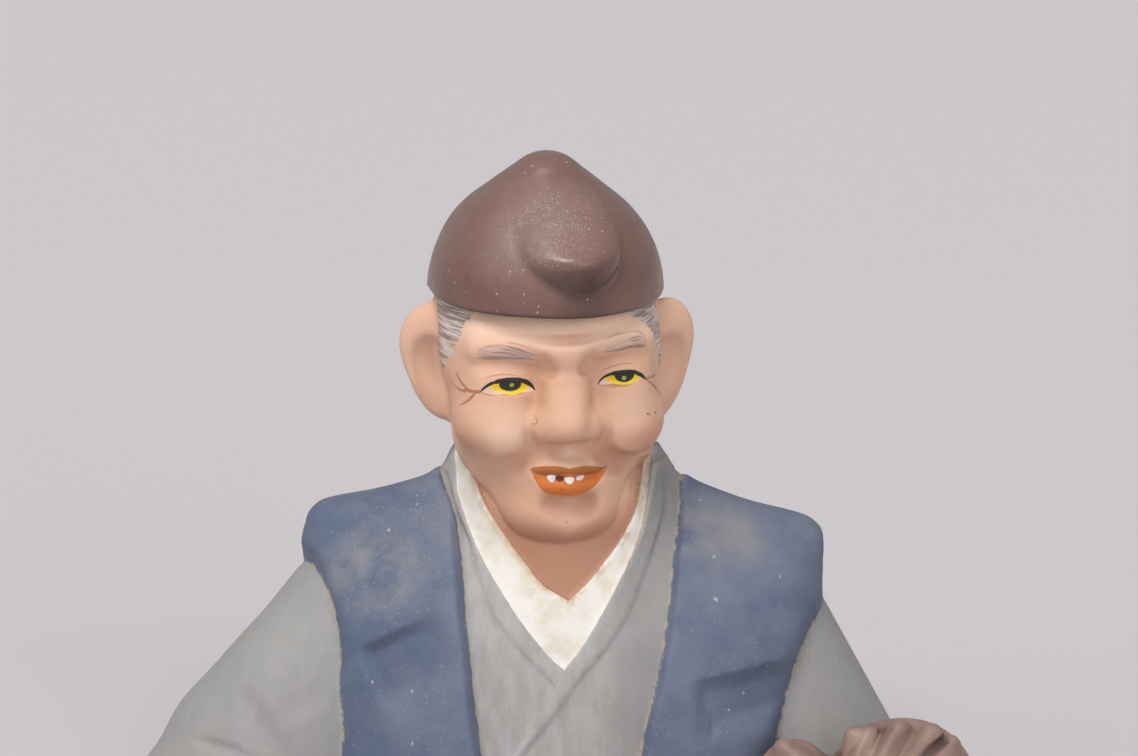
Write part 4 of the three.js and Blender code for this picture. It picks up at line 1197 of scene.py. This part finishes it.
HAIR_LEAN = math.radians(5)
SPOTS = [
    (15.5, -6.6, 0.2), (15.9, -6.85, 0.15), (17.2, -6.9, 0.2), (5.4, -1.2, 0.12), (0.1, -25.4, 0.13),
    (-1, -18.8, 0.16), (-0.3, -17.7, 0.12),
]
# Painted highlights on the cheeks, the upper lip and the chin: across, up, reach and share of each.
PAINTED_HIGHLIGHTS = [(-11.5, -8, 7.5, 0.6), (12.5, -5, 6, 0.25), (1, -24.8, 5.5, 0.2), (0.8, -12.8, 3.5, 0.5)]
BLUSHES = [(-18.4, -11.4, 6.5, 0.42), (17.6, -11.6, 6.5, 0.42)]


def hair_paint(coat, place):
    """Grey hair below the cap, in strokes combed forward and down, over the skin."""
    board = coat.board
    comb = board.node("VectorRotate", {"Vector": place, "Axis": (1, 0, 0), "Angle": HAIR_LEAN}).outputs[0]
    ends = board.use(BRUSHED, Vector=comb, Stretch=(0.3, 0.13, 1.5), Scale=0.75)
    line = board.math("MULTIPLY_ADD", board.math("SUBTRACT", ends, 0.5), 16.0, board.mark("hair"))
    clear = board.math("SUBTRACT", board.mark("off_ears"), 0.9)
    line = board.math("MINIMUM", line, board.times(clear, 2.0))
    shade = board.use(BRUSHED, Vector=comb, Stretch=(0.3, 0.1, 2.6), Scale=1.0)
    paint = board.between(shade, 0.44, 0.6, (0.25, 0.19, 0.18), (0.70, 0.61, 0.56))
    coat.lay(board.ramp(line, -0.3, 0.5, 0.0, 0.9), paint)


def skin_paint(board, where, features):
    place = board.head_place()
    flat = board.vector("MULTIPLY", place, (1, 0, 1))
    depth = board.vector("DOT_PRODUCT", place, (0, 1, 0))
    mottle = board.noise(where, 90, 4.0)
    skin = Coat(board, where, mottle, 0.3, 0.7, (0.68, 0.385, 0.255), (0.75, 0.455, 0.315))
    # Painted light: paler skin across the forehead just under the cap, lifting the shade the cap casts there.
    painted_forehead_light = board.mark("cap", -9, -3, 0.0, 0.85)
    skin.lay(board.times(painted_forehead_light, board.ramp(depth, -4, -12)), (0.88, 0.60, 0.45))
    # Painted shade: darker, redder skin in small hollows and creases, kept off the edge of the cap.
    painted_crease_shade = board.mark("hollow", 0.3, 0.95, 0.0, 0.6)
    skin.lay(board.times(painted_crease_shade, board.mark("cap", -1.5, -4)), (0.42, 0.17, 0.09))
    # Painted shade: darker skin in the broad valleys of the face, away from the cap.
    valley = board.mark("valley", 0.14, 0.65, 0.0, 0.6)
    skin.lay(board.times(valley, board.mark("cap", -4, -9)), (0.42, 0.185, 0.105))
    # Painted shade: the neck darker and redder below the chin.
    skin.tint("neck", -1, 7, 0.9, (0.37, 0.17, 0.10))
    # Painted light: the ears a little paler.
    skin.tint("off_ears", 1.0, 0.0, 0.3, (0.88, 0.58, 0.43))
    face = Features(board, flat, skin.colour)
    # Painted highlights on the cheeks, the upper lip and the chin.
    for across, up, reach, share in PAINTED_HIGHLIGHTS:
        face.spot((across, 0, up), reach, 0.0, share, (0.93, 0.66, 0.49))
    for across, up, reach, share in BLUSHES:
        face.spot((across, 0, up), reach, 0.0, share, (0.50, 0.165, 0.095))
    if features:
        eyes_paint(face)
        mouth_paint(face)
        brow_paint(face)
        face.dot((0.14, 0.05, 0.035), SPOTS, strength=0.85)
    skin.lay(board.ramp(depth, FACE_DEPTH, FACE_DEPTH - 2), face.colour)
    hair_paint(skin, place)
    skin.specks(1100.0, 0.22, 0.05, 150.0, 0.5, (0.25, 0.12, 0.07))
    return skin.colour


def kimono_paint(board, where):
    """Grey, with painted shade over the lapel at the right, and darker on the sleeve at the left."""
    streaks = board.use(BRUSHED, Vector=where, Stretch=(1.6, 1, 0.5), Scale=260.0)
    coat = Coat(board, where, streaks, 0.35, 0.65, (0.335, 0.33, 0.32), (0.40, 0.39, 0.385))
    # Painted shade over the lapel at the right.
    coat.lay(board.ramp(board.place(where, "X"), 0.003, 0.014, 0.0, 0.75), (0.245, 0.24, 0.235))
    coat.lay(board.ramp(board.place(where, "X"), -0.03, -0.045, 0.0, 0.7), (0.285, 0.28, 0.275))
    dirt = board.noise(where, 60, 5.0, 0.6)
    coat.lay(board.ramp(dirt, 0.52, 0.75, 0.0, 0.45), (0.33, 0.29, 0.24))
    # Painted shade in the hollows.
    coat.tint("hollow", 0.25, 0.9, 0.4, (0.20, 0.185, 0.17))
    coat.tint("proud", 0.2, 0.8, 0.35, (0.58, 0.54, 0.48))
    coat.specks(1500.0, 0.3, 0.16, 70.0, 0.6, (0.55, 0.47, 0.36))
    return coat.colour


def collar_paint(board, where):
    stain = board.noise(where, 220, 4.0, 0.6)
    coat = Coat(board, where, stain, 0.4, 0.7, (0.76, 0.73, 0.685), (0.67, 0.61, 0.50))
    near_skin = board.mark("inside", 1.6, 0.1)
    worn = board.times(near_skin, board.ramp(stain, 0.42, 0.6))
    coat.lay(board.times(worn, 0.7), (0.50, 0.34, 0.19))
    # Painted shade in the hollows.
    coat.tint("hollow", 0.15, 0.8, 0.5, (0.50, 0.42, 0.33))
    return coat.colour


def vest_paint(board, where):
    mottle = board.noise(where, 75, 5.0, 0.6)
    coat = Coat(board, where, mottle, 0.3, 0.7, (0.09, 0.12, 0.19), (0.142, 0.168, 0.24))
    dust = board.times(board.mark("facing_up", 0.1, 0.9), board.ramp(mottle, 0.35, 0.7))
    coat.lay(board.times(dust, 0.25), (0.22, 0.205, 0.2))
    for centre, reach, share in (((-0.036, -0.02, 0.046), 0.014, 0.65), ((0.029, -0.012, 0.052), 0.012, 0.5)):
        near = board.near(where, centre, reach, reach * 0.4, share)
        coat.lay(board.times(near, board.ramp(mottle, 0.3, 0.6)), (0.27, 0.245, 0.24))
    # Painted shade in the two fold hollows of the vest.
    for centre in ((-0.03, -0.027, 0.029), (0.037, -0.026, 0.023)):
        coat.spot(centre, 0.009, 0.002, 0.45, (0.065, 0.09, 0.15))
    # Painted shade in the hollows.
    coat.tint("hollow", 0.3, 0.9, 0.3, (0.06, 0.085, 0.14))
    coat.tint("proud", 0.2, 0.8, 0.5, (0.26, 0.30, 0.37))
    coat.specks(1700.0, 0.34, 0.3, 60.0, 0.5, (0.36, 0.33, 0.29))
    coat.specks(420.0, 0.2, 0.16, 90.0, 0.7, (0.50, 0.46, 0.40))
    return coat.colour


def cap_paint(board, where):
    mottle = board.noise(where, 60, 5.0, 0.6)
    coat = Coat(board, where, mottle, 0.3, 0.7, (0.135, 0.062, 0.047), (0.19, 0.097, 0.077))
    # Dust and painted sheen: paler on the faces turned upwards.
    up = board.mark("facing_up", -0.2, 0.8)
    coat.lay(board.times(up, 0.2), (0.29, 0.185, 0.16))
    # Painted shade: darker on the faces turned downwards.
    coat.tint("facing_up", 0.0, -0.7, 0.6, (0.04, 0.02, 0.014))
    # Painted shade in the hollows.
    coat.tint("hollow", 0.1, 0.7, 0.7, (0.05, 0.022, 0.016))
    place = board.head_place()
    # Painted shadow under the lobe of the cap.
    coat.lay(board.near(place, (3, -22.5, 16), 7, 1, 0.5), (0.06, 0.027, 0.018))
    # Dust and painted sheen over the upper left of the cap, where the fine dust specks also gather.
    dust_and_sheen = board.near(place, (-3, -14, 27), 15, 3, 1.0, 0.12)
    coat.lay(board.times(dust_and_sheen, 0.3), (0.42, 0.31, 0.28))
    fine = board.use(SPECKS, Vector=where, Scale=2500.0, Size=0.36, Amount=0.8, Drift=130.0)
    coat.lay(board.times(fine, board.times(dust_and_sheen, 0.8)), (0.66, 0.54, 0.45))
    coat.specks(800.0, 0.22, 0.3, 160.0, 0.6, (0.60, 0.47, 0.37))
    return coat.colour


def bare_clay(board, where):
    grain = board.noise(where, 500, 4.0, 0.6)
    return board.between(grain, 0.3, 0.7, (0.42, 0.26, 0.17), (0.55, 0.38, 0.27))


def clay_relief(board, where):
    """Fine grain and shallow waves of the brushed surface."""
    grain = board.noise(where, 2400, 3.0, 0.6)
    waves = board.noise(where, 260, 3.0, 0.5)
    height = board.math("ADD", board.times(grain, 0.35), waves)
    return board.bump(0.55, height)


def painted_face():
    material, board = new_material("painted_face")
    where = board.object_place()
    colour = skin_paint(board, where, True)
    rough = board.ramp(board.noise(where, 400, 3.0), 0.3, 0.7, 0.44, 0.58)
    board.finish(colour, rough, Normal=clay_relief(board, where))
    return material


def painted_clay():
    material, board = new_material("painted_clay")
    where = board.object_place()

    def edge(name, wobble=0.12, soft=0.07, **others):
        depth = board.mark(name)
        return board.use(PAINT_EDGE, Vector=where, Distance=depth, Wobble=wobble, Soft=soft, **others)

    coat = Coat(board, where, skin_paint(board, where, False))
    cloth = edge("cloth")
    coat.lay(cloth, kimono_paint(board, where))
    for name, paint in (("white", collar_paint), ("vest", vest_paint)):
        share = board.times(edge(name), cloth)
        coat.lay(share, paint(board, where))
    rim = board.ramp(board.math("ABSOLUTE", board.math("SUBTRACT", board.mark("vest"), 0.15)), 0.5, 0.2)
    lost = board.ramp(board.noise(where, 420, 3.0, 0.6), 0.47, 0.56, 0.0, 0.8)
    worn = board.times(board.times(rim, cloth), lost)
    coat.lay(worn, (0.42, 0.33, 0.23))
    hat = edge("cap")
    coat.lay(hat, cap_paint(board, where))
    bare = edge("bare", 0.6, 0.1, Scale=400.0)
    coat.lay(bare, bare_clay(board, where))

    rough = board.blend(cloth, 0.5, 0.74)
    rough = board.blend(hat, rough, 0.3)
    rough = board.math("ADD", rough, board.ramp(board.noise(where, 400, 3.0), 0.3, 0.7, -0.06, 0.08))
    board.finish(coat.colour, rough, Normal=clay_relief(board, where))
    return material


def brown_clay():
    material, board = new_material("brown_clay")
    where = board.object_place()
    mottle = board.noise(where, 150, 4.0)
    coat = Coat(board, where, mottle, 0.3, 0.7, (0.20, 0.126, 0.099), (0.31, 0.205, 0.167))
    # Painted shade in the hollows.
    coat.tint("hollow", 0.1, 0.6, 0.8, (0.045, 0.02, 0.014))
    coat.tint("proud", 0.2, 0.8, 0.5, (0.36, 0.25, 0.19))
    board.finish(coat.colour, 0.5, Normal=board.bump(0.4, board.noise(where, 900, 4.0, 0.6)))
    return material


# Pieces

def finish_piece(obj, materials, node):
    for material in materials:
        obj.data.materials.append(material)
    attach(obj, "root")
    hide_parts(node)


finish_piece(make_figure(), [painted_clay(), painted_face()], "figure")
finish_piece(make_carved_work(), [brown_clay()], "carved_work")


# Floor, light and camera

def make_floor():
    reach = 9.0
    corners = [(-reach, -reach, 0), (reach, -reach, 0), (reach, reach, 0), (-reach, reach, 0)]
    mesh = bpy.data.meshes.new("floor")
    mesh.from_pydata(corners, [], [(0, 1, 2, 3)])
    floor = bpy.data.objects.new("floor", mesh)
    bpy.context.scene.collection.objects.link(floor)
    material, board = new_material("pale_floor")
    board.finish((0.585, 0.556, 0.572), 0.9)
    mesh.materials.append(material)


def aim(obj, at, target):
    obj.location = at
    obj.rotation_mode = "QUATERNION"
    obj.rotation_quaternion = (Vector(at) - Vector(target)).to_track_quat("Z", "Y")


def make_light(name, at, energy, spread, colour):
    light = bpy.data.lights.new(name, "SUN")
    light.energy = energy
    light.angle = math.radians(spread)
    light.color = colour
    obj = bpy.data.objects.new(name, light)
    bpy.context.scene.collection.objects.link(obj)
    aim(obj, at, (0, 0, 0))


def make_sky():
    world = bpy.data.worlds.new("sky")
    bpy.context.scene.world = world
    world.use_nodes = True
    background = world.node_tree.nodes["Background"]
    background.inputs["Color"].default_value = (0.96, 0.97, 1.0, 1.0)
    background.inputs["Strength"].default_value = 0.36


def make_camera():
    lens_width = 36.0
    distance = 0.7
    pixels_across = 1138
    pixel = 0.185 * MM
    rise = math.radians(8)
    target = Vector((1.3 * MM, 0, 77.0 * MM))
    camera = bpy.data.objects.new("camera", bpy.data.cameras.new("camera"))
    bpy.context.scene.collection.objects.link(camera)
    camera.data.sensor_width = lens_width
    camera.data.lens = lens_width * distance / (pixels_across * pixel)
    camera.data.clip_start = 0.01
    camera.data.clip_end = 30
    aim(camera, target + distance * Vector((0, -math.cos(rise), math.sin(rise))), target)
    bpy.context.scene.camera = camera


make_floor()
make_sky()
make_light("key", (-0.3, -0.55, 1.0), 2.15, 30, (1.0, 0.985, 0.965))
make_light("left", (-0.9, -0.35, 0.5), 0.3, 40, (1.0, 0.985, 0.97))
make_light("right", (0.6, -1.0, 0.4), 0.75, 40, (1.0, 0.985, 0.97))
make_camera()
bpy.context.scene.view_settings.view_transform = "Standard"
